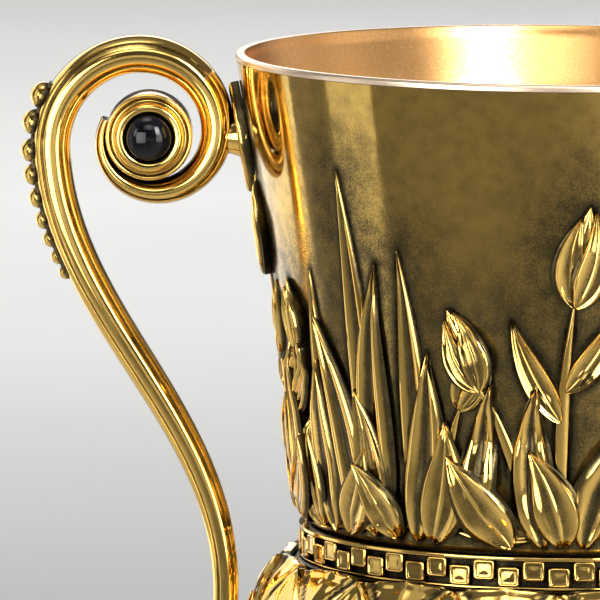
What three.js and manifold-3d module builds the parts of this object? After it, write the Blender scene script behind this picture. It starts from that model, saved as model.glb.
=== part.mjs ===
// A gilded two-handled goblet, in millimetres, +Z up, standing on z = 0 with its axis on Z.
// A tapered bowl with a leaf frieze sits in a leaf calyx, over a turned stem with a lobed knop and a domed foot.
// One tie rod clamps bowl, calyx, stem and foot together, and a satin liner is dropped into the bowl.
// Two scroll handles are screwed on from inside. Each has a volute with a dark stone on both faces.
import * as THREE from "three";
import { mergeVertices } from "three/addons/utils/BufferGeometryUtils.js";
import Module from "manifold-3d";

const wasm = await Module();
wasm.setup();

// Fits
const FIT = 0.3; // gap round spigots, in seats and between a piece and what it is cut to
const THREAD_FIT = 0.2; // gap round a screw in its hole
const ROUND = 40; // facets round a large turned piece
const STEM_ROUND = 28; // facets round a piece of the stem
const SMALL_ROUND = 16; // facets round a stone, screw or washer
const SMOOTHING = 0.02; // how far a carved surface may be evened out

// Foot
const FELT_THICKNESS = 1;
const FELT_INSET = 2; // felt edge to foot edge
const FOOT_RADIUS = 41;
const FOOT_HEIGHT = 23;
const FOOT_EDGE_HEIGHT = 3.2;
const FOOT_STEP = 3.6; // width of the ledge above the foot's edge
const FOOT_TOP_RADIUS = 11.5;
const FOOT_WALL = 2.4;
const CROWN_THICKNESS = 4;
const BASE_PLATE_RADIUS = 34;
const BASE_PLATE_THICKNESS = 3;
const BASE_LEDGE = 2; // ledge that the base plate stops against
const FOOT_LEAVES = 12;
const FOOT_LEAF_TIPS = 7; // up the dome from its lower edge
const FOOT_LEAF_DROP = 9;
const FOOT_LEAF_HEIGHT = 0.8;

// Tie rod, M6
const ROD_RADIUS = 3;
const ROD_END = 2; // rod showing past the lower nut
const NUT_ACROSS_FLATS = 10;
const NUT_HEIGHT = 5;
const THIN_NUT_HEIGHT = 3;
const WASHER_RADIUS = 6;
const WASHER_THICKNESS = 1.5;

// Stem
const TRUMPET_HEIGHT = 19;
const TRUMPET_WAIST_RADIUS = 6.6;
const STEM_SEAT_RADIUS = 7.5; // flat faces where the stem pieces meet
const RING_HEIGHT = 3.5;
const RING_RADIUS = 9.6;
const KNOP_HEIGHT = 15;
const KNOP_RADIUS = 14.5;
const KNOP_LOBES = 12;
const KNOP_LOBE_FACETS = 4;
const KNOP_VALLEY = 1.3; // depth of the grooves between the lobes
const NECK_HEIGHT = 11;
const NECK_WAIST_RADIUS = 6.4;

// Calyx
const CALYX_HEIGHT = 42;
const CALYX_FOOT_RADIUS = 12.5;
const CALYX_RADIUS = 42.5;
const CALYX_WIDEST_HEIGHT = 29;
const CALYX_TOP_RADIUS = 37;
const CALYX_MOUTH_RADIUS = 30.8;
const CALYX_WALL = 2.4;
const CALYX_FLOOR = 4.5;
const CALYX_FLANGE = 2.5;
const CALYX_LEAVES = 16; // leaves in each row
const CALYX_ROWS = 3;
const CALYX_TOP_TIPS = 60; // tips of the top row, up the wall from the calyx's foot
const CALYX_ROW_SPACING = 12.5;
const CALYX_LEAF_DROP = 9.5; // tip down to the notch between two leaves
const CALYX_LEAF_HEIGHT = 1;
const CALYX_LOBES_AT = 12; // fullest place of the lowest leaves, up the wall

// Bowl
const BOWL_HEIGHT = 71; // seat to the shell's top edge
const BOWL_BASE_RADIUS = 35; // at the shoulder over the collar
const RIM_RADIUS = 46;
const BOWL_FLARE = 0.15; // 0 is a straight taper
const BOWL_SEAT_RADIUS = 33.5; // the plain cylinder that the collar goes round
const SHELL_WALL = 1.9;
const SHELL_EDGE = 0.5; // wall at the top edge
const SHELL_THINNING = 8; // height over which the wall thins to that edge
const SHELL_FLOOR = 2.5;
const SHELL_SPIGOT_HEIGHT = 2.5;
const SHELL_SPIGOT_WALL = 2;
const LIP_THICKNESS = 1;
const LINER_WALL = 0.6;
const LINER_CORNER = 6;
const ROD_TO_LINER = 1;

// Collar of two staggered rows of square billets
const COLLAR_HEIGHT = 4.75;
const COLLAR_FILLET = 0.5; // plain edge above and below the billets
const COLLAR_GROUND = 1.4; // wall of the ring behind the billets
const BILLETS = 32; // in each row
const BILLET_WIDTH = 3;
const BILLET_DEPTH = 1.2;
const BILLET_ROW_GAP = 0.15;

// Handles
const VOLUTE_DROP = 12; // lip to volute centre
const VOLUTE_STANDOFF = 14.2; // bowl wall to volute centre
const VOLUTE_RADIUS = 11.5; // centreline, at the top of the volute
const VOLUTE_INNER_RADIUS = 5.6; // the same, one turn further in
const VOLUTE_LEAVES_AT = 100; // degrees back from the top, where the volute becomes the stem of the handle
const VOLUTE_END_AT = 290; // degrees on from the top, where the scroll dies into the boss
const BOSS_RADIUS = 6.2;
const BOSS_HALF_WIDTH = 3.75;
const CURL_HEIGHT = 30; // lower curl's height above the calyx foot
const CURL_STANDOFF = 4.8; // calyx wall to the handle's centreline
const CURL_RADIUS = 5.6;
const CURL_TIGHTENING = 0.16;
const CURL_END_AT = 245;
const CURL_PEARL_RADIUS = 2.5;
const UPPER_SWEEP = 26; // pull of the handle's curve at each end
const LOWER_SWEEP = 30;
const HANDLE_TOP = { thick: 5.4, wide: 6.8 };
const HANDLE_MIDDLE = { thick: 4.6, wide: 5.8 };
const HANDLE_BOTTOM = { thick: 3.5, wide: 4.8 };
const HANDLE_TIP = { thick: 1.5, wide: 5.6 };
const PAD_THICKNESS = 1.4;
const UPPER_PAD = { height: 16, width: 6.5 };
const LOWER_PAD = { height: 13, width: 6.5 };
const LUG_RADIUS = 2.6;

// Stones in their collets
const STONE_RADIUS = 3.3;
const STONE_HEIGHT = 2.75;
const COLLET_WALL = 1.4;
const COLLET_HEIGHT = 1.25;

// Graduated beading let into the back of each handle
const BEADS = 9;
const FIRST_BEAD_RADIUS = 2;
const LAST_BEAD_RADIUS = 1.1;
const BEAD_SPACING = 1.06; // share of the diameters' sum
const BEADING_STARTS_AT = 62; // degrees back from the top of the volute
const STRIP_HALF_WIDTH = 0.7;
const STRIP_DEPTH = 0.6;

// Screws: upper M2.5 countersunk, lower M3 pan head with a washer
const UPPER_SCREW = { radius: 1.25, headRadius: 2.3, headHeight: 1.25, length: 7 };
const LOWER_SCREW = { radius: 1.5, headRadius: 2.75, headHeight: 1.75, length: 7.5 };
const SCREW_WASHER = { radius: 3.1, thickness: 0.5 };
const SPOTFACE_RADIUS = 3.5;
const SOCKET_SHARE = 0.45; // hex socket's radius as a share of the screw head's

// Leaves
const LEAF_SINK = 0.4; // how far a leaf's edges run under the surface that carries it
const LEAF_POINT_SINK = 0.2; // the same for its point
const LEAF_STATIONS = [0.16, 0.42, 0.76];
const LEAF_FULLEST = 0.38; // share of the length where a leaf is widest
const LEAF_RIDGE_AT_ENDS = 0.55; // the ridge's height at a leaf's two ends, as a share of its full height
const SPRAYS = 8; // alternating reed sprays and bud sprays
const SPRAY_RISE = 1; // bowl shoulder to the roots of the sprays
const SPRAY_HEIGHT = 54;
const SPRAY_LEAF_WIDTH = 8;
const SPRAY_LEAF_HEIGHT = 1.2;
const STALK_WIDTH = 0.26; // as a share of the widest leaf's
const BUD_PLUMPNESS = 3; // a bud's width over its length, each as a share like a leaf's
const ROW_LEAF_DROP = [0, 0.35, 1, 0.35]; // from the tip down to the next leaf, as shares of a row's drop
const ROW_LEAF_LIFT = [1.25, 1, 0.3, 1]; // the same places' heights, as shares of a row's height
const ROW_LEAF_EDGE = 0.25; // run of the step down at a leaf's edge

// Levels up the stack
const FOOT_Z = FELT_THICKNESS;
const TRUMPET_Z = FOOT_Z + FOOT_HEIGHT;
const LOWER_RING_Z = TRUMPET_Z + TRUMPET_HEIGHT;
const KNOP_Z = LOWER_RING_Z + RING_HEIGHT;
const UPPER_RING_Z = KNOP_Z + KNOP_HEIGHT;
const NECK_Z = UPPER_RING_Z + RING_HEIGHT;
const CALYX_Z = NECK_Z + NECK_HEIGHT;
const BOWL_Z = CALYX_Z + CALYX_HEIGHT;
const LIP_Z = BOWL_Z + BOWL_HEIGHT + LIP_THICKNESS;
const ROD_BORE = ROD_RADIUS + FIT;
const SHOULDER_HEIGHT = COLLAR_HEIGHT + FIT; // bowl shoulder over the collar

// Materials
const standard = (color, roughness, metalness) => new THREE.MeshStandardMaterial({ color, roughness, metalness });
const gilt = () => standard(0xd9a93c, 0.12, 1);
const satinGilt = () => standard(0xd09a66, 0.42, 1);
const onyx = () => standard(0x121317, 0.12, 0);
const steel = () => standard(0x9a9da0, 0.35, 1);
const zinc = () => standard(0x7f8387, 0.5, 1);
const baize = () => standard(0x1d3326, 0.95, 0);

const radians = THREE.MathUtils.degToRad;
const at = (x, y) => new THREE.Vector2(x, y);

// A closed geometry as a solid, with its shared vertices merged
function solidOf(geometry) {
  const bare = geometry.index ? geometry.toNonIndexed() : geometry.clone();
  bare.deleteAttribute("normal");
  bare.deleteAttribute("uv");
  const merged = mergeVertices(bare, 1e-4);
  const corners = [];
  for (let i = 0; i < merged.index.count; i += 3) {
    const [a, b, c] = merged.index.array.slice(i, i + 3);
    if (a !== b && b !== c && c !== a) corners.push(a, b, c);
  }
  const vertProperties = merged.attributes.position.array;
  return new wasm.Manifold(new wasm.Mesh({ numProp: 3, vertProperties, triVerts: new Uint32Array(corners) }));
}

const join = (solids) => solids.reduce((all, solid) => all.add(solid));

function meshOf(name, solid, material) {
  const { vertProperties, triVerts } = solid.getMesh();
  const geometry = new THREE.BufferGeometry();
  geometry.setAttribute("position", new THREE.BufferAttribute(vertProperties, 3));
  geometry.setIndex(new THREE.BufferAttribute(triVerts, 1));
  geometry.computeVertexNormals();
  const mesh = new THREE.Mesh(geometry, material);
  mesh.name = name;
  return mesh;
}

// A profile of [radius, height] points, closed on itself, turned about Z
function turned(profile, facets = ROUND) {
  const points = profile.map(([r, z]) => at(r, z));
  if (THREE.ShapeUtils.area(points) < 0) points.reverse();
  points.push(points[0].clone());
  return new THREE.LatheGeometry(points, facets).rotateX(Math.PI / 2);
}

const turnedSolid = (profile, facets) => solidOf(turned(profile, facets));

// Points along a cubic curve between [radius, height] corners, both ends included
function curved(start, pull, push, end, steps = 6) {
  const corners = [start, pull, push, end].map(([x, y]) => at(x, y));
  return new THREE.CubicBezierCurve(...corners).getPoints(steps).map((p) => [p.x, p.y]);
}

const raised = (profile, height) => profile.map(([r, z]) => [r, z + height]);

// The bore for the tie rod through a stem piece
const rodBore = (height) => [
  [ROD_BORE, 0],
  [ROD_BORE, height],
];

// The bowl's outer wall: a quadratic curve whose radius at a height above the seat is bowlRadius
const bowlCurve = new THREE.QuadraticBezierCurve(
  at(BOWL_BASE_RADIUS, SHOULDER_HEIGHT),
  at(
    BOWL_BASE_RADIUS + ((RIM_RADIUS - BOWL_BASE_RADIUS) * (1 - BOWL_FLARE)) / 2,
    (SHOULDER_HEIGHT + BOWL_HEIGHT) / 2,
  ),
  at(RIM_RADIUS, BOWL_HEIGHT),
);
const bowlRadius = (height) =>
  bowlCurve.getPoint((height - SHOULDER_HEIGHT) / (BOWL_HEIGHT - SHOULDER_HEIGHT)).x;

function shellWall(height) {
  const thinning = THREE.MathUtils.clamp((height - BOWL_HEIGHT + SHELL_THINNING) / SHELL_THINNING, 0, 1);
  return THREE.MathUtils.lerp(SHELL_WALL, SHELL_EDGE, thinning);
}

const shellBore = (height) => bowlRadius(height) - shellWall(height);

// The calyx's outer wall, from its foot up to the flat face under the collar
const calyxCurve = new THREE.CurvePath();
calyxCurve.add(
  new THREE.CubicBezierCurve(
    at(CALYX_FOOT_RADIUS, 0),
    at(CALYX_RADIUS - 10, 1),
    at(CALYX_RADIUS, CALYX_WIDEST_HEIGHT - 15),
    at(CALYX_RADIUS, CALYX_WIDEST_HEIGHT),
  ),
);
calyxCurve.add(
  new THREE.CubicBezierCurve(
    at(CALYX_RADIUS, CALYX_WIDEST_HEIGHT),
    at(CALYX_RADIUS, CALYX_WIDEST_HEIGHT + 6),
    at(CALYX_RADIUS - 1, CALYX_HEIGHT - 3),
    at(CALYX_TOP_RADIUS, CALYX_HEIGHT),
  ),
);

// The foot's dome, from the ledge up to the flat face under the stem
const footCurve = new THREE.CubicBezierCurve(
  at(FOOT_RADIUS - FOOT_STEP, FOOT_EDGE_HEIGHT + 1.6),
  at(FOOT_RADIUS - FOOT_STEP - 1, FOOT_HEIGHT - 8),
  at(FOOT_TOP_RADIUS + 6, FOOT_HEIGHT - 12),
  at(FOOT_TOP_RADIUS, FOOT_HEIGHT - 1.5),
);

const pointsOf = (curve, steps) => curve.getPoints(steps).map((p) => [p.x, p.y]);

// A point on a turned surface: `up` along its curve from the lower end, `across` round it, `off` out of it
function onSurface(curve, turn, across, up, off) {
  const share = THREE.MathUtils.clamp(up / curve.getLength(), 0, 1);
  const p = curve.getPointAt(share);
  const along = curve.getTangentAt(share);
  const angle = turn + across / p.x;
  const r = p.x + off * along.y;
  return new THREE.Vector3(r * Math.cos(angle), r * Math.sin(angle), p.y - off * along.x);
}

// How wide a leaf is along its length, as a share of its full width
const leafWidth = (t) => Math.sin(Math.PI * t ** (Math.log(0.5) / Math.log(LEAF_FULLEST)));

// A ridged, pointed leaf lying on a turned surface. Its spine starts at (across, up), leaning that many
// degrees from straight up, and bends by a further number of degrees on its way to the tip.
function leaf(curve, turn, { across, up, length, width, height, lean = 0, bend = 0 }) {
  const heading = (t) => radians(lean + bend * t);
  const place = (t, side, off) => {
    const u = across + length * t * Math.sin(heading(t / 2));
    const v = up + length * t * Math.cos(heading(t / 2));
    const half = (side * width * leafWidth(t)) / 2;
    return onSurface(curve, turn, u + half * Math.cos(heading(t)), v - half * Math.sin(heading(t)), off);
  };
  const root = place(0, 0, -LEAF_SINK);
  const point = place(1, 0, -LEAF_POINT_SINK);
  const rings = LEAF_STATIONS.map((t) => [
    place(t, -1, -LEAF_SINK),
    place(t, 0, height * THREE.MathUtils.lerp(LEAF_RIDGE_AT_ENDS, 1, leafWidth(t))),
    place(t, 1, -LEAF_SINK),
  ]);
  const faces = [];
  rings[0].forEach((p, i) => faces.push(root, rings[0][(i + 1) % 3], p));
  rings.slice(1).forEach((ring, k) => {
    ring.forEach((p, i) => {
      const next = (i + 1) % 3;
      faces.push(rings[k][i], rings[k][next], ring[next], rings[k][i], ring[next], p);
    });
  });
  const last = rings[rings.length - 1];
  last.forEach((p, i) => faces.push(p, last[(i + 1) % 3], point));
  return solidOf(new THREE.BufferGeometry().setFromPoints(faces));
}

// A spray's leaf: where it springs from and how long it is as shares of the spray's height, its width and
// height as shares of the widest leaf's, and its lean and bend in degrees
const sprayLeaf = (across, up, length, width, height, lean = 0, bend = 0) => ({
  across: across * SPRAY_HEIGHT,
  up: SPRAY_RISE + up * SPRAY_HEIGHT,
  length: length * SPRAY_HEIGHT,
  width: width * SPRAY_LEAF_WIDTH,
  height: height * SPRAY_LEAF_HEIGHT,
  lean,
  bend,
});

// A stalk and the bud that sits on its end
function flowerStalk(across, up, length, lean, bend, size) {
  const way = radians(lean + bend / 2);
  return [
    sprayLeaf(across, up, length, STALK_WIDTH, 0.65, lean, bend),
    sprayLeaf(
      across + length * Math.sin(way),
      up + length * Math.cos(way),
      size,
      size * BUD_PLUMPNESS,
      1.2,
      lean + bend,
    ),
  ];
}

// The reeds: leaves behind, two bud stalks, leaves over them, and broad short leaves in front
const REED_SPRAY = [
  sprayLeaf(0.02, 0.08, 0.9, 0.55, 0.62, -3, 6),
  sprayLeaf(-0.13, 0.06, 0.72, 0.55, 0.62, -6, 8),
  sprayLeaf(0.14, 0.06, 0.64, 0.55, 0.62, 10, -12),
  ...flowerStalk(0.2, 0.02, 0.47, 0, 18, 0.2),
  ...flowerStalk(-0.2, 0.02, 0.37, -4, -22, 0.19),
  sprayLeaf(-0.04, 0, 0.74, 0.7, 1, 8, -22),
  sprayLeaf(0.07, 0, 0.6, 0.7, 1, -2, 26),
  sprayLeaf(-0.13, 0, 0.52, 0.7, 1, -14, 10),
  sprayLeaf(0.16, 0, 0.46, 0.7, 1, 12, -16),
  sprayLeaf(0.01, 0, 0.4, 0.74, 1.4, -10, 24),
  sprayLeaf(-0.18, 0, 0.34, 0.74, 1.3, -24, 26),
  sprayLeaf(0.22, 0, 0.31, 0.74, 1.3, 22, -28),
  sprayLeaf(0.1, 0, 0.26, 0.68, 1.5, -30, 16),
  sprayLeaf(-0.07, 0, 0.23, 0.66, 1.5, 12, 34),
  sprayLeaf(-0.1, 0.03, 0.28, 0.58, 1.5, -78, 10),
];

// The flowers: a tall bud with two leaves on its stalk, two lower buds, and broad leaves in front
const BUD_SPRAY = [
  ...flowerStalk(-0.01, 0, 0.66, 4, -12, 0.27),
  sprayLeaf(0, 0.34, 0.3, 0.52, 0.9, 36, -20),
  sprayLeaf(-0.01, 0.42, 0.26, 0.5, 0.9, -46, 30),
  ...flowerStalk(0.06, 0, 0.46, 12, 14, 0.23),
  ...flowerStalk(-0.07, 0, 0.35, -20, -10, 0.22),
  sprayLeaf(-0.19, 0.02, 0.5, 0.55, 0.7, -8, 14),
  sprayLeaf(0.2, 0.02, 0.42, 0.55, 0.7, 8, -22),
  sprayLeaf(0.04, 0, 0.44, 0.68, 1.1, 16, -26),
  sprayLeaf(-0.06, 0, 0.38, 0.7, 1.1, -8, -26),
  sprayLeaf(-0.01, 0, 0.28, 0.74, 1.4, 6, 26),
  sprayLeaf(0.12, 0, 0.3, 0.74, 1.3, 38, -6),
  sprayLeaf(-0.13, 0, 0.28, 0.74, 1.3, -40, 28),
  sprayLeaf(0.05, 0.03, 0.3, 0.6, 1.4, 79, 8),
];

const otherHand = (shape) => ({ ...shape, across: -shape.across, lean: -shape.lean, bend: -shape.bend });

// Rings round Z joined into one closed band, outer wall upwards and inner wall downwards
function ringed(rings) {
  const faces = [];
  rings.forEach((ring, k) => {
    const following = rings[(k + 1) % rings.length];
    ring.forEach((p, i) => {
      const next = (i + 1) % ring.length;
      faces.push(p, ring[next], following[next], p, following[next], following[i]);
    });
  });
  return solidOf(new THREE.BufferGeometry().setFromPoints(faces));
}

const plainRing = (columns) => ([r, z]) =>
  Array.from({ length: columns }, (_, i) => {
    const angle = (2 * Math.PI * i) / columns;
    return new THREE.Vector3(r * Math.cos(angle), r * Math.sin(angle), z);
  });

// A ring along the edge of a row of pointed leaves, with their tips `up` the surface and the notches
// between them a drop further down. It stands off by shares of a height.
function leafRing(curve, leaves, { shift, up, drop, height }) {
  const columns = leaves * ROW_LEAF_DROP.length;
  return Array.from({ length: columns }, (_, i) => {
    const column = (i + shift) % ROW_LEAF_DROP.length;
    const level = up - drop * ROW_LEAF_DROP[column];
    return onSurface(curve, (2 * Math.PI * i) / columns, 0, level, height * ROW_LEAF_LIFT[column]);
  });
}

// The calyx's leaves from the lowest row up. Each row has a ring on its leaves' edge and one at its foot.
function calyxRings() {
  const rings = [leafRing(calyxCurve, CALYX_LEAVES, { up: CALYX_LOBES_AT, drop: 0, height: CALYX_LEAF_HEIGHT, shift: 0 })];
  for (let row = CALYX_ROWS - 1; row >= 0; row--) {
    const edge = {
      up: CALYX_TOP_TIPS - row * CALYX_ROW_SPACING,
      drop: CALYX_LEAF_DROP,
      height: CALYX_LEAF_HEIGHT,
      shift: 2 * (row % 2),
    };
    rings.push(leafRing(calyxCurve, CALYX_LEAVES, edge));
    rings.push(leafRing(calyxCurve, CALYX_LEAVES, { ...edge, up: edge.up + ROW_LEAF_EDGE, height: 0.1 }));
  }
  return rings;
}

// A pointed oval, as tall and wide as the pad, pushed along X from one place to another
function ovalBar(pad, from, to, z, grown = 0) {
  const tall = pad.height / 2 + grown;
  const wide = pad.width / 2 + grown;
  const shape = new THREE.Shape();
  shape.moveTo(0, -tall);
  shape.quadraticCurveTo(2 * wide, 0, 0, tall);
  shape.quadraticCurveTo(-2 * wide, 0, 0, -tall);
  const geometry = new THREE.ExtrudeGeometry(shape, { depth: to - from, bevelEnabled: false, curveSegments: 6 });
  return solidOf(geometry.rotateX(Math.PI / 2).rotateZ(Math.PI / 2).translate(from, 0, z));
}

// A rod along X, for lugs, screws and the holes for them
const rodAlongX = (radius, from, to, z, facets = SMALL_ROUND) =>
  solidOf(
    new THREE.CylinderGeometry(radius, radius, to - from, facets)
      .rotateZ(Math.PI / 2)
      .translate((from + to) / 2, 0, z),
  );

function makeFoot() {
  const plateTop = BASE_PLATE_THICKNESS;
  const crown = FOOT_HEIGHT - CROWN_THICKNESS;
  const hollow = pointsOf(footCurve, 4)
    .map(([r, z]) => [r - FOOT_WALL, Math.min(z - FOOT_WALL, crown)])
    .filter(([r]) => r > WASHER_RADIUS + 3 && r < BASE_PLATE_RADIUS - BASE_LEDGE);
  const ring = plainRing(FOOT_LEAVES * ROW_LEAF_DROP.length);
  const full = footCurve.getLength();
  const edge = { up: FOOT_LEAF_TIPS, drop: -FOOT_LEAF_DROP, height: FOOT_LEAF_HEIGHT, shift: 0 };
  return ringed([
    ...[
      [FOOT_RADIUS, 0],
      [FOOT_RADIUS, FOOT_EDGE_HEIGHT - 0.8],
      [FOOT_RADIUS - 0.8, FOOT_EDGE_HEIGHT],
      [FOOT_RADIUS - FOOT_STEP + 0.6, FOOT_EDGE_HEIGHT + 0.6],
      ...pointsOf(footCurve, 12).slice(0, 2),
    ].map(ring),
    leafRing(footCurve, FOOT_LEAVES, { ...edge, up: edge.up - ROW_LEAF_EDGE, height: 0 }),
    leafRing(footCurve, FOOT_LEAVES, edge),
    leafRing(footCurve, FOOT_LEAVES, { ...edge, up: full - 8, drop: 0 }),
    ...[
      ...pointsOf(footCurve, 12).slice(-1),
      [FOOT_TOP_RADIUS, FOOT_HEIGHT],
      [ROD_BORE, FOOT_HEIGHT],
      [ROD_BORE, crown],
      [WASHER_RADIUS + 3, crown],
      ...hollow.reverse(),
      [BASE_PLATE_RADIUS - BASE_LEDGE, plateTop],
      [BASE_PLATE_RADIUS + FIT, plateTop],
      [BASE_PLATE_RADIUS + FIT, 0],
    ].map(ring),
  ]);
}

function makeTrumpet() {
  return turnedSolid([
    ...rodBore(TRUMPET_HEIGHT),
    [STEM_SEAT_RADIUS, TRUMPET_HEIGHT],
    [STEM_SEAT_RADIUS, TRUMPET_HEIGHT - 1],
    ...curved(
      [TRUMPET_WAIST_RADIUS, TRUMPET_HEIGHT - 2],
      [TRUMPET_WAIST_RADIUS, TRUMPET_HEIGHT - 10],
      [TRUMPET_WAIST_RADIUS + 1, 3.5],
      [FOOT_TOP_RADIUS - 1.5, 2.2],
      4,
    ),
    [FOOT_TOP_RADIUS - 0.4, 1.6],
    [FOOT_TOP_RADIUS - 0.4, 0],
  ], STEM_ROUND);
}

function makeRing() {
  const bulge = RING_RADIUS - STEM_SEAT_RADIUS;
  const rounded = [60, 20, -20, -60].map((degrees) => [
    STEM_SEAT_RADIUS + bulge * Math.cos(radians(degrees)),
    (RING_HEIGHT / 2) * (1 + Math.sin(radians(degrees))),
  ]);
  return turnedSolid([
    ...rodBore(RING_HEIGHT),
    [STEM_SEAT_RADIUS, RING_HEIGHT],
    ...rounded,
    [STEM_SEAT_RADIUS, 0],
  ], STEM_ROUND);
}

// A turned knop whose outer wall is drawn in along the grooves between its lobes
function makeKnop() {
  const outer = curved(
    [STEM_SEAT_RADIUS, KNOP_HEIGHT],
    [KNOP_RADIUS + 2, KNOP_HEIGHT - 1],
    [KNOP_RADIUS + 2, 1],
    [STEM_SEAT_RADIUS, 0],
  );
  const geometry = turned([...rodBore(KNOP_HEIGHT), ...outer], KNOP_LOBES * KNOP_LOBE_FACETS);
  const place = geometry.attributes.position;
  for (let i = 0; i < place.count; i++) {
    const [x, y] = [place.getX(i), place.getY(i)];
    const r = Math.hypot(x, y);
    if (r <= STEM_SEAT_RADIUS + 0.01) continue;
    const groove = 1 - Math.abs(Math.sin((KNOP_LOBES / 2) * Math.atan2(y, x)));
    const depth = KNOP_VALLEY * groove * ((r - STEM_SEAT_RADIUS) / (KNOP_RADIUS - STEM_SEAT_RADIUS));
    place.setXY(i, (x * (r - depth)) / r, (y * (r - depth)) / r);
  }
  return solidOf(geometry);
}

function makeNeck() {
  return turnedSolid([
    ...rodBore(NECK_HEIGHT),
    [CALYX_FOOT_RADIUS, NECK_HEIGHT],
    [CALYX_FOOT_RADIUS, NECK_HEIGHT - 1],
    ...curved(
      [CALYX_FOOT_RADIUS - 1, NECK_HEIGHT - 1.6],
      [NECK_WAIST_RADIUS + 1, NECK_HEIGHT - 3],
      [NECK_WAIST_RADIUS, 5],
      [NECK_WAIST_RADIUS, 2],
      4,
    ),
    [STEM_SEAT_RADIUS, 1],
    [STEM_SEAT_RADIUS, 0],
  ], STEM_ROUND);
}

// What stands proud of a turned wall where the pads of both handles lie
function padClearing(wall, pad, nearX, z) {
  const bars = [0, 180].map((degrees) => solidTurned(ovalBar(pad, nearX - 10, nearX + 10, z, FIT), degrees));
  return join(bars).subtract(turnedSolid(wall));
}

function makeCalyx() {
  const inner = pointsOf(calyxCurve, 4)
    .map(([r, z]) => [r - CALYX_WALL, z])
    .filter(([r, z]) => z > CALYX_FLOOR && z < CALYX_HEIGHT - CALYX_FLANGE - 1 && r > CALYX_FOOT_RADIUS);
  const ring = plainRing(CALYX_LEAVES * ROW_LEAF_DROP.length);
  const body = ringed([
    ring([CALYX_FOOT_RADIUS, 0]),
    ...calyxRings(),
    ...[
      [CALYX_TOP_RADIUS, CALYX_HEIGHT],
      [CALYX_MOUTH_RADIUS, CALYX_HEIGHT],
      [CALYX_MOUTH_RADIUS, CALYX_HEIGHT - CALYX_FLANGE],
      ...inner.reverse(),
      [inner[inner.length - 1][0] - 5, CALYX_FLOOR],
      [ROD_BORE, CALYX_FLOOR],
      [ROD_BORE, 0],
    ].map(ring),
  ]);
  const wall = [[0, 0], ...pointsOf(calyxCurve, 8), [0, CALYX_HEIGHT]];
  const seat = CALYX_RADIUS - CALYX_WALL;
  const holes = [0, 180].flatMap((degrees) => [
    solidTurned(rodAlongX(LOWER_SCREW.radius + THREAD_FIT, seat - 4, CALYX_RADIUS + 4, CURL_HEIGHT), degrees),
    solidTurned(rodAlongX(SPOTFACE_RADIUS, seat - 4, spotface(), CURL_HEIGHT), degrees),
  ]);
  return body.subtract(join([padClearing(wall, LOWER_PAD, CALYX_RADIUS, CURL_HEIGHT), ...holes]));
}

// Where the lower screw's washer bears inside the calyx
const spotface = () => CALYX_RADIUS - CALYX_WALL + FIT;

const solidTurned = (solid, degrees) =>
  solidOf(meshOf("turned", solid).geometry.rotateZ(radians(degrees)));

function makeCollar() {
  const inner = BOWL_SEAT_RADIUS + FIT;
  const ground = inner + COLLAR_GROUND;
  const ring = turnedSolid([
    [inner, 0],
    [ground + BILLET_DEPTH, 0],
    [ground + BILLET_DEPTH, COLLAR_FILLET],
    [ground, COLLAR_FILLET],
    [ground, COLLAR_HEIGHT],
    [inner, COLLAR_HEIGHT],
  ]);
  const height = (COLLAR_HEIGHT - 2 * COLLAR_FILLET - BILLET_ROW_GAP) / 2;
  const blocks = [0, 1].flatMap((row) =>
    Array.from({ length: BILLETS }, (_, i) => {
      const block = new THREE.BoxGeometry(BILLET_DEPTH + 0.4, BILLET_WIDTH, height);
      const z = COLLAR_FILLET + row * (height + BILLET_ROW_GAP) + height / 2;
      block.translate(ground + BILLET_DEPTH / 2 - 0.2, 0, z);
      return solidOf(block.rotateZ((2 * Math.PI * (i + row / 2)) / BILLETS));
    }),
  );
  return join([ring, ...blocks]).simplify(SMOOTHING);
}

// Half of the sprays are the other half's mirror image
function frieze() {
  return Array.from({ length: SPRAYS }, (_, i) => {
    const spray = i % 2 ? REED_SPRAY : BUD_SPRAY;
    const shapes = i < SPRAYS / 2 ? spray : spray.map(otherHand);
    return shapes.map((shape) => leaf(bowlCurve, (2 * Math.PI * i) / SPRAYS, shape));
  }).flat();
}

// How the bowl's wall leans where the handle is screwed on, and where that is
const VOLUTE_Z = LIP_Z - VOLUTE_DROP;
const SCREW_HEIGHT = VOLUTE_Z - BOWL_Z;
const wallLean = Math.atan(bowlRadius(SCREW_HEIGHT + 0.5) - bowlRadius(SCREW_HEIGHT - 0.5));

// A geometry made along X from the bowl's outer wall at x = 0, set square to that wall on the handle's side
const squareToBowl = (geometry, z) =>
  geometry.rotateY(wallLean).translate(bowlRadius(SCREW_HEIGHT), 0, z);

const alongX = (profile) => turned(profile, SMALL_ROUND).rotateY(Math.PI / 2);

// The screw itself, or the hole for it, which is wider by `grown` and runs on past both ends
function countersunkScrew(grown = 0) {
  const { radius, headRadius, headHeight, length } = UPPER_SCREW;
  const inside = 0.05 - shellWall(SCREW_HEIGHT);
  return alongX([
    [0, inside - 4 * grown],
    [headRadius + grown, inside - 4 * grown],
    [headRadius + grown, inside + 0.3],
    [radius + grown, inside + headHeight],
    [radius + grown, inside + length + grown],
    [0, inside + length + grown],
  ]);
}

// Heights at which both the shell's bore and the liner's outer wall have a point, from the top down
const BORE_HEIGHTS = [BOWL_HEIGHT, BOWL_HEIGHT - SHELL_THINNING, BOWL_HEIGHT / 2];
const LINER_BOTTOM = SHELL_FLOOR + WASHER_THICKNESS + THIN_NUT_HEIGHT + ROD_TO_LINER;
const LINER_STRAIGHT = LINER_BOTTOM + LINER_CORNER;

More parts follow.
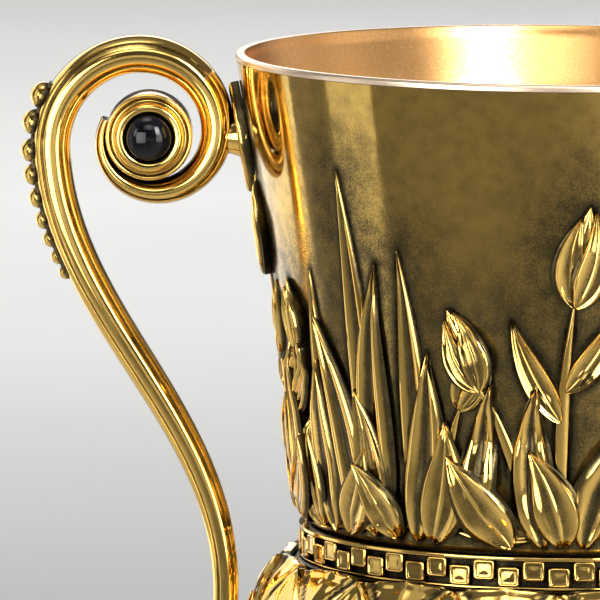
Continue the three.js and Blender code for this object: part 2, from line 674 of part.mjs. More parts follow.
function makeShell() {
  const spigot = CALYX_MOUTH_RADIUS - FIT;
  const body = turnedSolid([
    [ROD_BORE, 0],
    [spigot - SHELL_SPIGOT_WALL, 0],
    [spigot - SHELL_SPIGOT_WALL, -SHELL_SPIGOT_HEIGHT],
    [spigot, -SHELL_SPIGOT_HEIGHT],
    [spigot, 0],
    [BOWL_SEAT_RADIUS, 0],
    [BOWL_SEAT_RADIUS, SHOULDER_HEIGHT],
    ...pointsOf(bowlCurve, 3),
    ...[...BORE_HEIGHTS, LINER_STRAIGHT, LINER_BOTTOM].map((height) => [shellBore(height), height]),
    [BOWL_SEAT_RADIUS - SHELL_WALL, SHOULDER_HEIGHT],
    [BOWL_SEAT_RADIUS - SHELL_WALL - 2, SHELL_FLOOR],
    [ROD_BORE, SHELL_FLOOR],
  ]);
  const wall = [[0, SHOULDER_HEIGHT], ...pointsOf(bowlCurve, 3), [0, BOWL_HEIGHT]];
  const clearing = padClearing(wall, UPPER_PAD, bowlRadius(SCREW_HEIGHT), SCREW_HEIGHT);
  const holes = [0, 180].map((degrees) =>
    solidOf(squareToBowl(countersunkScrew(THREAD_FIT), SCREW_HEIGHT).rotateZ(radians(degrees))),
  );
  return join([body, ...frieze()]).subtract(join([clearing, ...holes])).simplify(SMOOTHING);
}

// The liner hangs by its lip on the shell's top edge
function makeLiner() {
  const outer = (height) => shellBore(height) - FIT;
  const corner = curved(
    [outer(LINER_STRAIGHT), LINER_STRAIGHT],
    [outer(LINER_STRAIGHT) - 0.5, LINER_BOTTOM + LINER_CORNER * 0.4],
    [outer(LINER_STRAIGHT) - LINER_CORNER * 0.5, LINER_BOTTOM],
    [outer(LINER_STRAIGHT) - LINER_CORNER, LINER_BOTTOM],
    3,
  );
  const outside = [...BORE_HEIGHTS.map((height) => [outer(height), height]), ...corner];
  const inside = outside.map(([r, z], i) => [
    r - (i < outside.length - 1 ? LINER_WALL : 0),
    Math.max(z, LINER_BOTTOM + LINER_WALL),
  ]);
  const lipTop = BOWL_HEIGHT + LIP_THICKNESS;
  return turnedSolid([
    [0, LINER_BOTTOM],
    ...outside.reverse(),
    [RIM_RADIUS, BOWL_HEIGHT],
    [RIM_RADIUS, lipTop - 0.3],
    [RIM_RADIUS - 0.3, lipTop],
    [outer(BOWL_HEIGHT) - LINER_WALL + 0.3, lipTop],
    ...inside,
    [0, LINER_BOTTOM + LINER_WALL],
  ]);
}

function makeNut(height) {
  const shape = new THREE.Shape();
  const corner = NUT_ACROSS_FLATS / 2 / Math.cos(radians(30));
  for (let i = 0; i < 6; i++) shape.lineTo(corner * Math.cos(radians(60 * i)), corner * Math.sin(radians(60 * i)));
  shape.curves.shift();
  shape.closePath();
  const hole = new THREE.Path().absarc(0, 0, ROD_RADIUS + THREAD_FIT, 0, 2 * Math.PI, true);
  shape.holes.push(hole);
  return solidOf(new THREE.ExtrudeGeometry(shape, { depth: height, bevelEnabled: false, curveSegments: 8 }));
}

const makeWasher = (bore, radius, thickness) =>
  turnedSolid([[bore, 0], [radius, 0], [radius, thickness], [bore, thickness]], SMALL_ROUND);

// The handle on the +X side. Its centreline lies in the XZ plane.
const VOLUTE_X = bowlRadius(SCREW_HEIGHT) + VOLUTE_STANDOFF;
const CURL_X = CALYX_RADIUS + CURL_STANDOFF;
const CURL_Z = CALYX_Z + CURL_HEIGHT;
const VOLUTE_TIGHTENING = Math.log(VOLUTE_RADIUS / VOLUTE_INNER_RADIUS) / (2 * Math.PI);

const voluteRadius = (degrees) => VOLUTE_RADIUS * Math.exp(-VOLUTE_TIGHTENING * radians(degrees));
const curlRadius = (degrees) => CURL_RADIUS * Math.exp(-CURL_TIGHTENING * radians(degrees));

// Degrees run on from the top of the volute, towards the bowl and inwards
function onVolute(degrees) {
  const direction = radians(90 + degrees);
  const r = voluteRadius(degrees);
  return at(VOLUTE_X + r * Math.cos(direction), VOLUTE_Z + r * Math.sin(direction));
}

// Degrees run on from the side of the curl that faces the calyx, downwards and outwards
function onCurl(degrees) {
  const direction = radians(180 + degrees);
  const r = curlRadius(degrees);
  return at(CURL_X + CURL_RADIUS + r * Math.cos(direction), CURL_Z + r * Math.sin(direction));
}

const heading = (from, to) => to.clone().sub(from).normalize();
const sweepStart = onVolute(-VOLUTE_LEAVES_AT);
const sweepEnd = onCurl(0);
const sweep = new THREE.CubicBezierCurve(
  sweepStart,
  sweepStart.clone().addScaledVector(heading(onVolute(-VOLUTE_LEAVES_AT + 0.1), sweepStart), UPPER_SWEEP),
  sweepEnd.clone().addScaledVector(heading(sweepEnd, onCurl(0.1)), -LOWER_SWEEP),
  sweepEnd,
);

const blendSizes = (a, b, t) => ({
  thick: THREE.MathUtils.lerp(a.thick, b.thick, t),
  wide: THREE.MathUtils.lerp(a.wide, b.wide, t),
});

// The handle's centreline and section, from the scroll's inner end to the curl's
function handleStations() {
  const stations = [];
  const voluteStep = 26;
  for (let degrees = VOLUTE_END_AT; degrees > -VOLUTE_LEAVES_AT; degrees -= voluteStep) {
    const size = blendSizes(HANDLE_TOP, HANDLE_TIP, Math.max(0, degrees / VOLUTE_END_AT) ** 1.3);
    stations.push({ p: onVolute(degrees), ...size });
  }
  const sweepSteps = 10;
  for (let i = 0; i < sweepSteps; i++) {
    const t = i / sweepSteps;
    const upper = blendSizes(HANDLE_TOP, HANDLE_MIDDLE, Math.min(1, 2 * t));
    const size = blendSizes(upper, HANDLE_BOTTOM, Math.max(0, 2 * t - 1));
    stations.push({ p: sweep.getPointAt(t), ...size });
  }
  const curlStep = 35;
  for (let degrees = 0; degrees <= CURL_END_AT; degrees += curlStep) {
    const taper = 1 - (0.35 * degrees) / CURL_END_AT;
    stations.push({ p: onCurl(degrees), thick: HANDLE_BOTTOM.thick * taper, wide: HANDLE_BOTTOM.wide });
  }
  return stations;
}

// A bar swept through stations in the XZ plane. The section is a list of [out, side] shares of half its
// thickness and half its width, out being to the left of the way along, seen from the front.
function sweptBar(stations, section) {
  const rings = stations.map(({ p, thick, wide }, i) => {
    const before = stations[Math.max(0, i - 1)].p;
    const after = stations[Math.min(stations.length - 1, i + 1)].p;
    const along = heading(before, after);
    return section.map(([out, side]) => {
      const off = out * (thick / 2);
      return new THREE.Vector3(p.x - along.y * off, (side * wide) / 2, p.y + along.x * off);
    });
  });
  const faces = [];
  const sides = section.length;
  rings.slice(1).forEach((ring, k) => {
    ring.forEach((p, i) => {
      const next = (i + 1) % sides;
      faces.push(rings[k][i], rings[k][next], ring[next], rings[k][i], ring[next], p);
    });
  });
  const first = rings[0];
  const last = rings[rings.length - 1];
  for (let i = 1; i < sides - 1; i++) {
    faces.push(first[0], first[i + 1], first[i], last[0], last[i], last[i + 1]);
  }
  return solidOf(new THREE.BufferGeometry().setFromPoints(faces));
}

const BAR_SECTION = [
  [-1, 0.55], [-0.55, 1], [0.55, 1], [1, 0.55], [1, -0.55], [0.55, -1], [-0.55, -1], [-1, -0.55],
];
const STRIP_SECTION = [[-1, 1], [1, 1], [1, -1], [-1, -1]];

// Stations along the back of the handle for the beading, each with the outward direction there
function backStations(count) {
  const stations = [];
  const volute = BEADING_STARTS_AT;
  for (let degrees = volute; degrees < VOLUTE_LEAVES_AT; degrees += 4) {
    const centre = at(VOLUTE_X, VOLUTE_Z);
    const p = onVolute(-degrees);
    stations.push({ p, out: heading(centre, p), thick: HANDLE_TOP.thick });
  }
  for (let i = 0; i < count; i++) {
    const t = i / count;
    const along = sweep.getTangentAt(t);
    const { thick } = blendSizes(HANDLE_TOP, HANDLE_MIDDLE, Math.min(1, 2 * t));
    stations.push({ p: sweep.getPointAt(t), out: at(-along.y, along.x), thick });
  }
  return stations;
}

// Bead centres on the handle's back, each a little more than the sum of two radii from the last, and the
// stations of the strip that carries them
function beadPlaces() {
  const track = backStations(160);
  const onBack = ({ p, out, thick }) => p.clone().addScaledVector(out, thick / 2);
  const beyond = (from, distance) =>
    track.findIndex((station, i) => i > from && onBack(station).distanceTo(onBack(track[from])) >= distance);
  const start = beyond(0, FIRST_BEAD_RADIUS);
  const beads = [];
  let here = start;
  for (let i = 0; i < BEADS; i++) {
    const radius = THREE.MathUtils.lerp(FIRST_BEAD_RADIUS, LAST_BEAD_RADIUS, i / (BEADS - 1));
    if (i) here = beyond(here, (beads[i - 1].radius + radius) * BEAD_SPACING);
    beads.push({ radius, place: onBack(track[here]) });
  }
  const end = beyond(here, LAST_BEAD_RADIUS);
  const strip = track.filter((_, i) => i <= end && (i % 8 === 0 || i === end));
  return { beads, strip };
}

// The strip's section, and the groove for it, measured in from the back of the bar
function stripBar(stations, halfWidth, depth, proud) {
  const middle = stations.map(({ p, out, thick }) => ({
    p: p.clone().addScaledVector(out, thick / 2 + (proud - depth) / 2),
    thick: proud + depth,
    wide: 2 * halfWidth,
  }));
  return sweptBar(middle, STRIP_SECTION);
}

function makeBeading(bar) {
  const { beads, strip } = beadPlaces();
  const domes = beads.map(({ radius, place }) =>
    solidOf(new THREE.SphereGeometry(radius, 8, 4).translate(place.x, 0, place.y)),
  );
  return join([stripBar(strip, STRIP_HALF_WIDTH, STRIP_DEPTH, FIT + 0.2), ...domes.map((dome) => dome.subtract(bar))]);
}

function grownStations(stations, grown) {
  return stations.map(({ p, thick, wide }) => ({ p, thick: thick + 2 * grown, wide: wide + 2 * grown }));
}

// A pad that hugs a turned wall, between its surface and a little outside it
function padOn(profile, pad, nearX, z) {
  const sleeve = turnedSolid([
    ...profile.map(([r, height]) => [r + FIT, height]),
    ...profile.map(([r, height]) => [r + FIT + PAD_THICKNESS, height]).reverse(),
  ]);
  return ovalBar(pad, nearX - 10, nearX + 10, z).intersect(sleeve);
}

function makeHandle() {
  const stations = handleStations();
  const bar = sweptBar(stations, BAR_SECTION);
  const boss = solidOf(
    new THREE.CylinderGeometry(BOSS_RADIUS, BOSS_RADIUS, 2 * BOSS_HALF_WIDTH, 24).translate(VOLUTE_X, 0, VOLUTE_Z),
  );
  const pearl = solidOf(
    new THREE.SphereGeometry(CURL_PEARL_RADIUS, 12, 6).translate(CURL_X + CURL_RADIUS, 0, CURL_Z),
  );
  const bowlWall = raised(pointsOf(bowlCurve, 12), BOWL_Z);
  const calyxWall = raised(pointsOf(calyxCurve, 8), CALYX_Z);
  const bowlSide = bowlRadius(SCREW_HEIGHT);
  const bowlKeepOut = turnedSolid([[0, BOWL_Z], ...bowlWall.map(([r, z]) => [r + FIT, z]), [0, LIP_Z - LIP_THICKNESS]]);
  const calyxKeepOut = turnedSolid([[0, CALYX_Z], ...calyxWall.map(([r, z]) => [r + FIT, z]), [0, BOWL_Z]]);
  const upperLug = rodAlongX(LUG_RADIUS, bowlSide - 1, onVolute(90).x, VOLUTE_Z);
  const lowerLug = rodAlongX(LUG_RADIUS, CALYX_RADIUS - 1, CURL_X, CURL_Z);
  const upperHole = solidOf(squareToBowl(countersunkScrew(THREAD_FIT), VOLUTE_Z));
  const { radius, length } = LOWER_SCREW;
  const screwEnd = spotface() - SCREW_WASHER.thickness + length;
  const lowerHole = rodAlongX(radius + THREAD_FIT, CALYX_RADIUS - 1, screwEnd + FIT, CURL_Z);
  const groove = stripBar(beadPlaces().strip, STRIP_HALF_WIDTH + FIT, STRIP_DEPTH + FIT, 1);
  const handle = join([bar, boss, pearl, upperLug.subtract(bowlKeepOut), lowerLug.subtract(calyxKeepOut)])
    .add(padOn(bowlWall, UPPER_PAD, bowlSide, VOLUTE_Z))
    .add(padOn(calyxWall, LOWER_PAD, CALYX_RADIUS, CURL_Z))
    .subtract(join([upperHole, lowerHole, groove]))
    .simplify(SMOOTHING);
  const keepOff = sweptBar(grownStations(stations, FIT), BAR_SECTION);
  return { handle, beading: makeBeading(keepOff) };
}

// A collet and its stone stand on a face of the boss, opening along Z until they are turned to the side
const makeCollet = () =>
  turnedSolid([
    [STONE_RADIUS + FIT, 0],
    [STONE_RADIUS + FIT + COLLET_WALL, 0],
    [STONE_RADIUS + FIT + COLLET_WALL * 0.75, COLLET_HEIGHT],
    [STONE_RADIUS + FIT, COLLET_HEIGHT],
  ], SMALL_ROUND);

const makeStone = () =>
  turnedSolid([
    [0, 0],
    [STONE_RADIUS, 0],
    [STONE_RADIUS, 0.7],
    ...[28, 60].map((degrees) => [
      STONE_RADIUS * Math.cos(radians(degrees)),
      0.7 + (STONE_HEIGHT - 0.7) * Math.sin(radians(degrees)),
    ]),
    [0, STONE_HEIGHT],
  ], SMALL_ROUND);

function makePanScrew() {
  const { radius, headRadius, headHeight, length } = LOWER_SCREW;
  return alongX([
    [0, -headHeight],
    [headRadius * 0.8, -headHeight],
    [headRadius, -headHeight * 0.6],
    [headRadius, 0],
    [radius, 0],
    [radius, length],
    [0, length],
  ]);
}

// A hex socket sunk into the end of a screw that lies along X
function socketed(screw, from, headRadius, depth) {
  const socket = new THREE.CylinderGeometry(headRadius * SOCKET_SHARE, headRadius * SOCKET_SHARE, 2 * depth, 6);
  return solidOf(screw).subtract(solidOf(socket.rotateZ(Math.PI / 2).translate(from, 0, 0)));
}

// One handle with its beading, stones and screws, made for the +X side and turned to its own
function handleGroup(side, degrees, parts) {
  const group = new THREE.Group();
  group.rotation.z = radians(degrees);
  group.add(meshOf(`${side}_handle`, parts.handle, gilt()));
  group.add(meshOf(`${side}_handle_beading`, parts.beading, gilt()));
  const faces = [
    ["front", -1],
    ["back", 1],
  ];
  faces.forEach(([face, way]) => {
    const toSide = way * (degrees ? -1 : 1);
    const setting = new THREE.Group();
    setting.position.set(VOLUTE_X, toSide * BOSS_HALF_WIDTH, VOLUTE_Z);
    setting.rotation.x = (-toSide * Math.PI) / 2;
    setting.add(meshOf(`${side}_${face}_collet`, parts.collet, gilt()));
    setting.add(meshOf(`${side}_${face}_stone`, parts.stone, onyx()));
    group.add(setting);
  });
  const upperScrew = meshOf(`${side}_upper_screw`, parts.upperScrew, steel());
  upperScrew.position.set(bowlRadius(SCREW_HEIGHT), 0, VOLUTE_Z);
  upperScrew.rotation.y = wallLean;
  const washer = meshOf(`${side}_lower_washer`, parts.washer, steel());
  washer.rotation.y = Math.PI / 2;
  washer.position.set(spotface() - SCREW_WASHER.thickness, 0, CURL_Z);
  const lowerScrew = meshOf(`${side}_lower_screw`, parts.lowerScrew, steel());
  lowerScrew.position.set(spotface() - SCREW_WASHER.thickness, 0, CURL_Z);
  group.add(upperScrew, washer, lowerScrew);
  return group;
}

const goblet = new THREE.Group();

function stack(name, solid, z, material) {
  const mesh = meshOf(name, solid, material);
  mesh.position.z = z;
  goblet.add(mesh);
}

const crownUnderside = FOOT_Z + FOOT_HEIGHT - CROWN_THICKNESS;
const rodBottom = crownUnderside - WASHER_THICKNESS - NUT_HEIGHT - ROD_END;
const rodTop = BOWL_Z + LINER_BOTTOM - ROD_TO_LINER;
const rod = turnedSolid([[0, rodBottom], [ROD_RADIUS, rodBottom], [ROD_RADIUS, rodTop], [0, rodTop]], SMALL_ROUND);
const disc = (radius, thickness) => turnedSolid([[0, 0], [radius, 0], [radius, thickness], [0, thickness]]);

stack("felt_pad", disc(FOOT_RADIUS - FELT_INSET, FELT_THICKNESS), 0, baize());
stack("base_plate", disc(BASE_PLATE_RADIUS, BASE_PLATE_THICKNESS), FOOT_Z, zinc());
stack("foot", makeFoot(), FOOT_Z, gilt());
stack("stem_trumpet", makeTrumpet(), TRUMPET_Z, gilt());
stack("knop_ring_lower", makeRing(), LOWER_RING_Z, gilt());
stack("knop", makeKnop(), KNOP_Z, gilt());
stack("knop_ring_upper", makeRing(), UPPER_RING_Z, gilt());
stack("stem_neck", makeNeck(), NECK_Z, gilt());
stack("calyx", makeCalyx(), CALYX_Z, gilt());
stack("billet_collar", makeCollar(), BOWL_Z, gilt());
stack("bowl_shell", makeShell(), BOWL_Z, gilt());
stack("bowl_liner", makeLiner(), BOWL_Z, satinGilt());
stack("tie_rod", rod, 0, steel());
const rodWasher = makeWasher(ROD_BORE, WASHER_RADIUS, WASHER_THICKNESS);
stack("tie_rod_lower_washer", rodWasher, crownUnderside - WASHER_THICKNESS, steel());
stack("tie_rod_lower_nut", makeNut(NUT_HEIGHT), crownUnderside - WASHER_THICKNESS - NUT_HEIGHT, steel());
stack("tie_rod_upper_washer", rodWasher, BOWL_Z + SHELL_FLOOR, steel());
stack("tie_rod_upper_nut", makeNut(THIN_NUT_HEIGHT), BOWL_Z + SHELL_FLOOR + WASHER_THICKNESS, steel());

const { headRadius: upperHead } = UPPER_SCREW;
const { headRadius: lowerHead, headHeight: lowerHeadHeight } = LOWER_SCREW;
const handleParts = {
  ...makeHandle(),
  collet: makeCollet(),
  stone: makeStone(),
  upperScrew: socketed(countersunkScrew(), 0.05 - shellWall(SCREW_HEIGHT), upperHead, 0.8),
  lowerScrew: socketed(makePanScrew(), -lowerHeadHeight, lowerHead, 1),
  washer: makeWasher(LOWER_SCREW.radius + THREAD_FIT, SCREW_WASHER.radius, SCREW_WASHER.thickness),
};
goblet.add(handleGroup("right", 0, handleParts));
goblet.add(handleGroup("left", 180, handleParts));

export default goblet;
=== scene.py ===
import math

import bpy
import numpy as np
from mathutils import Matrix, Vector, kdtree


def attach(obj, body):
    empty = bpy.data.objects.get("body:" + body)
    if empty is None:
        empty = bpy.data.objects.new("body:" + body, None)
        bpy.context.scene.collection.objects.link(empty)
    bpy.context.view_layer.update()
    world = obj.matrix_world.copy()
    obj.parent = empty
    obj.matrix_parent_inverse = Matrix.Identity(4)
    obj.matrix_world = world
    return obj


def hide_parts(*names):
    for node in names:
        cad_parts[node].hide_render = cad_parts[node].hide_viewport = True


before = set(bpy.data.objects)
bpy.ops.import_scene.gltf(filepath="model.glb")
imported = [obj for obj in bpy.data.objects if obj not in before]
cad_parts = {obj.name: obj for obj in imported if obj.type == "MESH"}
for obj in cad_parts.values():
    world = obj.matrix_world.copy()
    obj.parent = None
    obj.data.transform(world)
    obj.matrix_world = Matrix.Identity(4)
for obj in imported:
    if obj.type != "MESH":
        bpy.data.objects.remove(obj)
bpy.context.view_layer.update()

MM = 0.001

# Levels up the stack
FOOT_Z = 1
TRUMPET_Z = 24
LOWER_RING_Z = 43
KNOP_Z = 46.5
UPPER_RING_Z = 61.5
NECK_Z = 65
CALYX_Z = 76
BOWL_Z = 118
FIT = 0.3
ROD_BORE = 3.3

# Foot and stem
FOOT_RADIUS = 41
FOOT_HEIGHT = 23
FOOT_EDGE_HEIGHT = 3.2
FOOT_STEP = 3.6
FOOT_TOP_RADIUS = 11.5
FOOT_LEAVES = 12
FOOT_LEAF_TIPS = 7
FOOT_LEAF_DROP = 9
BASE_PLATE_RADIUS = 34
TRUMPET_HEIGHT = 19
TRUMPET_WAIST = 6.6
STEM_SEAT = 7.5
RING_HEIGHT = 3.5
RING_RADIUS = 9.6
KNOP_HEIGHT = 15
KNOP_RADIUS = 14.5
KNOP_LOBES = 12
KNOP_VALLEY = 1.3
NECK_HEIGHT = 11
NECK_WAIST = 6.4

# Calyx
CALYX_HEIGHT = 42
CALYX_FOOT = 12.5
CALYX_RADIUS = 42.5
CALYX_WIDEST = 29
CALYX_TOP = 37
CALYX_MOUTH = 30.8
CALYX_LEAVES = 16
CALYX_ROWS = 5
CALYX_TIPS = 60
CALYX_ROW_SPACING = 12.5
CALYX_LEAF_DROP = 9.5

# Leaves of the calyx and the foot
LEAF_POINT = 1.35
LEAF_ROWS = 28
LEAF_BELLY = 0.4
LEAF_RIM = 0.3
LEAF_RIM_INSET = 0.9
LEAF_KEEL = 0.25
LEAF_SEAM = 0.8
LEAF_SEAM_WIDTH = 0.5
LEAF_EDGE_WIDTH = 0.3
LEAF_CREASE_AT = 0.2
HIDDEN_ROW_REACH = 16

# Bowl, liner and collar
BOWL_HEIGHT = 71
BOWL_BASE = 35
RIM_RADIUS = 46
BOWL_FLARE = 0.15
BOWL_SEAT = 33.5
SHELL_WALL = 1.9
SHELL_EDGE = 0.5
SHELL_THINNING = 8
LINER_WALL = 0.6
LINER_BOTTOM = 8
LINER_CORNER = 6
LIP_THICKNESS = 1
COLLAR_HEIGHT = 4.75
COLLAR_GROUND = 35.2
COLLAR_FILLET = 0.5
BILLETS = 32
BILLET_WIDTH = 3
BILLET_HEIGHT = 2.85
BILLET_DEPTH = 1.2

# Handles
VOLUTE_Z = 178
VOLUTE_STANDOFF = 14.2
VOLUTE_RADIUS = 11.5
VOLUTE_INNER = 5.6
VOLUTE_LEAVES_AT = 100
VOLUTE_END_AT = 290
BOSS_RADIUS = 6.2
BOSS_HALF_WIDTH = 3.75
CURL_Z = CALYX_Z + 30
CURL_STANDOFF = 4.8
CURL_RADIUS = 5.6
CURL_TIGHTENING = 0.16
CURL_END_AT = 245
PEARL_RADIUS = 2.5
UPPER_SWEEP = 26
LOWER_SWEEP = 30
HANDLE_TOP = (5.4, 6.8)
HANDLE_MIDDLE = (4.6, 5.8)
HANDLE_BOTTOM = (3.5, 4.8)
HANDLE_TIP = (1.5, 5.6)
GROOVE_AT = 0.56
UPPER_PAD = (16, 6.5)
LOWER_PAD = (13, 6.5)
LUG_RADIUS = 2.6
STONE_RADIUS = 3.3
STONE_HEIGHT = 2.75
COLLET_WALL = 1.4
COLLET_HEIGHT = 1.25
BEADS = 9
FIRST_BEAD = 2
LAST_BEAD = 1.1
BEAD_SPACING = 1.06
BEADING_STARTS_AT = 62

# Frieze
BLADE_SINK = 0.4
BLADE_FULLEST = 0.38
BLADE_STATIONS = 30
SPRAYS = 8
SPRAY_RISE = 1
SPRAY_HEIGHT = 54
SPRAY_LEAF_WIDTH = 8
SPRAY_LEAF_HEIGHT = 1.2

# Patina and painted shade on the bowl's ground: all over, where it partly stands in for a darker reflection;
# close to the carving, as dark outlines; a wider painted shade round the carving; and patina at the shoulder
GROUND_PATINA_AND_SHADE = 0.3
CLOSE_PATINA_AND_SHADE = 0.6
CLOSE_REACH = 0.6
SHADE_PATINA = 0.26
SHADE_REACH = 8
SHOULDER_PATINA = 0.8


# Shapes as arrays of points
def bezier(corners, count):
    t = np.linspace(0, 1, count)[:, None]
    layer = [np.repeat(np.array([c], float), count, axis=0) for c in corners]
    while len(layer) > 1:
        layer = [a + (b - a) * t for a, b in zip(layer[:-1], layer[1:])]
    return layer[0]


def hump(distance, width):
    """1 at no distance, falling off smoothly over the width."""
    return np.exp(-((distance / width) ** 2))


def run_along(points):
    """How far along a line of points each of them lies."""
    return np.concatenate([[0], np.cumsum(np.linalg.norm(np.diff(points, axis=0), axis=1))])


def evenly(points, count):
    """Evenly spaced places along a line of points."""
    run = run_along(points)
    at = np.linspace(0, run[-1], count)
    return np.stack([np.interp(at, run, column) for column in points.T], axis=-1)


def about_axis(r, angle, z):
    return np.stack([r * np.cos(angle), r * np.sin(angle), z], axis=-1)


def wall_of(*curves):
    """A turned wall's outline with the run along it and its direction."""
    path = np.vstack([curves[0]] + [c[1:] for c in curves[1:]])
    run = run_along(path)
    way = np.gradient(path, run, axis=0)
    return run, path, way / np.linalg.norm(way, axis=1)[:, None]


def on_wall(wall, turn, across, up, off, z=0):
    """Points on a turned wall: `up` along it from its lower end, `across` round it, `off` out of it."""
    run, path, way = wall
    up = np.clip(up, 0, run[-1])
    r, h = np.interp(up, run, path[:, 0]), np.interp(up, run, path[:, 1])
    way_r, way_h = np.interp(up, run, way[:, 0]), np.interp(up, run, way[:, 1])
    angle = turn + across / r
    return about_axis(r + off * way_h, angle, h - off * way_r + z)


def quads(rows, columns, close_rows=False):
    """Faces of a grid of rows of points. Each row closes on itself."""
    i, j = np.meshgrid(np.arange(rows if close_rows else rows - 1), np.arange(columns), indexing="ij")
    below, right = (i + 1) % rows, (j + 1) % columns
    corners = [i * columns + j, i * columns + right, below * columns + right, below * columns + j]
    return np.stack(corners, axis=-1).reshape(-1, 4)


def shade(value, count):
    """The patina and painted shade of each of `count` points, from one value or as many."""
    return np.broadcast_to(np.asarray(value, float), (count,)).copy()


def ring_solid(rings, patina_and_shade):
    """Rings of points joined into a tube that closes on itself at its ends."""
    rows, columns = rings.shape[:2]
    return rings.reshape(-1, 3), [quads(rows, columns, True)], shade(np.ravel(patina_and_shade), rows * columns)


def capped(rings, patina_and_shade):
    """Rings of points joined into a solid, with a fan of triangles over each end."""
    rows, columns = rings.shape[:2]
    count = rows * columns
    ends = np.stack([rings[0].mean(axis=0), rings[-1].mean(axis=0)])
    j = np.arange(columns)
    right = (j + 1) % columns
    first = np.stack([np.full(columns, count), right, j], axis=-1)
    last = np.stack([np.full(columns, count + 1), count - columns + j, count - columns + right], axis=-1)
    points = np.vstack([rings.reshape(-1, 3), ends])
    patina_and_shade = shade(np.ravel(patina_and_shade), count)
    return points, [quads(rows, columns), first, last], np.append(patina_and_shade, [patina_and_shade[0], patina_and_shade[-1]])


def rounded(corners, steps=5):
    """A closed outline of (x, y) or (x, y, radius) corners, those with a radius rounded off."""
    outline = []
    for i, corner in enumerate(corners):
        if len(corner) == 2:
            outline.append(corner)
            continue
        here = np.array(corner[:2], float)
        ends = []
        for other in (corners[i - 1], corners[(i + 1) % len(corners)]):
            way = np.array(other[:2], float) - here
            reach = min(corner[2], 0.5 * np.linalg.norm(way))
            ends.append(here + way / np.linalg.norm(way) * reach)
        outline.extend(map(tuple, bezier([ends[0], here, ends[1]], steps)))
    return np.array(outline)


ROUNDED_SQUARE = rounded([(-1, -1, 0.3), (1, -1, 0.3), (1, 1, 0.3), (-1, 1, 0.3)], 4)


def turned(outline, segments, z=0, patina_and_shade=0.0):
    """A closed (radius, height) outline turned about Z."""
    outline = np.asarray(outline, float)
    angle = 2 * np.pi * np.arange(segments) / segments
    r, h = outline[:, :1], outline[:, 1:]
    rings = about_axis(r, angle, h + z + 0 * angle)
    return ring_solid(rings, np.repeat(shade(patina_and_shade, len(outline)), segments))


def domed(outline, segments):
    """A (radius, height) outline that starts and ends near the axis, turned about Z and closed there."""
    points, _, patina_and_shade = turned(outline, segments)
    return capped(points.reshape(len(outline), segments, 3), patina_and_shade)


def along_y(part, x, y, z, way):
    """A part turned about Z, laid along Y to open towards `way`, and put in place."""
    points, faces, patina_and_shade = part
    laid = np.stack([points[:, 0], points[:, 2] * way, points[:, 1]], axis=-1)
    return laid + (x, y, z), faces, patina_and_shade


def along_x(part, x, z):
    points, faces, patina_and_shade = part
    return np.stack([points[:, 2], points[:, 0], points[:, 1]], axis=-1) + (x, 0, z), faces, patina_and_shade


def spun(part, degrees):
    """A part turned about the goblet's axis."""
    points, faces, patina_and_shade = part
    c, s = math.cos(math.radians(degrees)), math.sin(math.radians(degrees))
    x, y = points[:, 0], points[:, 1]
    return np.stack([c * x - s * y, s * x + c * y, points[:, 2]], axis=-1), faces, patina_and_shade


def facing_out(points, faces):
    """The same faces, turned round if they enclose a negative volume."""
    volume = 0
    for group in faces:
        a = points[group[:, 0]]
        for k in range(1, group.shape[1] - 1):
            b, c = points[group[:, k]], points[group[:, k + 1]]
            volume += np.einsum("ij,ij->i", a, np.cross(b, c)).sum()
    return faces if volume > 0 else [group[:, ::-1] for group in faces]


def piece(name, parts, material, nodes, crease=35):
    """One object made of closed parts, which rides on the goblet and stands for CAD nodes."""
    points, corners, sizes, patina_and_shade, count = [], [], [], [], 0
    for part_points, part_faces, part_dirt in parts:
        for group in facing_out(part_points, part_faces):
            corners.append((group + count).ravel())
            sizes.append(np.full(len(group), group.shape[1]))
        points.append(part_points)
        patina_and_shade.append(part_dirt)
        count += len(part_points)
    corners, sizes = np.concatenate(corners), np.concatenate(sizes)
    mesh = bpy.data.meshes.new(name)
    mesh.vertices.add(count)
    mesh.vertices.foreach_set("co", (np.vstack(points) * MM).astype(np.float32).ravel())
    mesh.loops.add(len(corners))
    mesh.loops.foreach_set("vertex_index", corners.astype(np.int32))
    mesh.polygons.add(len(sizes))
    mesh.polygons.foreach_set("loop_start", np.concatenate([[0], np.cumsum(sizes)[:-1]]).astype(np.int32))
    mesh.polygons.foreach_set("use_smooth", np.ones(len(sizes), bool))
    mesh.update(calc_edges=True)
    marks = mesh.attributes.new("patina_and_painted_shade", "FLOAT", "POINT")
    marks.data.foreach_set("value", np.concatenate(patina_and_shade).astype(np.float32))
    mesh.set_sharp_from_angle(angle=math.radians(crease))
    mesh.materials.append(material)
    made = bpy.data.objects.new(name, mesh)
    bpy.context.scene.collection.objects.link(made)
    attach(made, "root")
    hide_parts(*nodes)


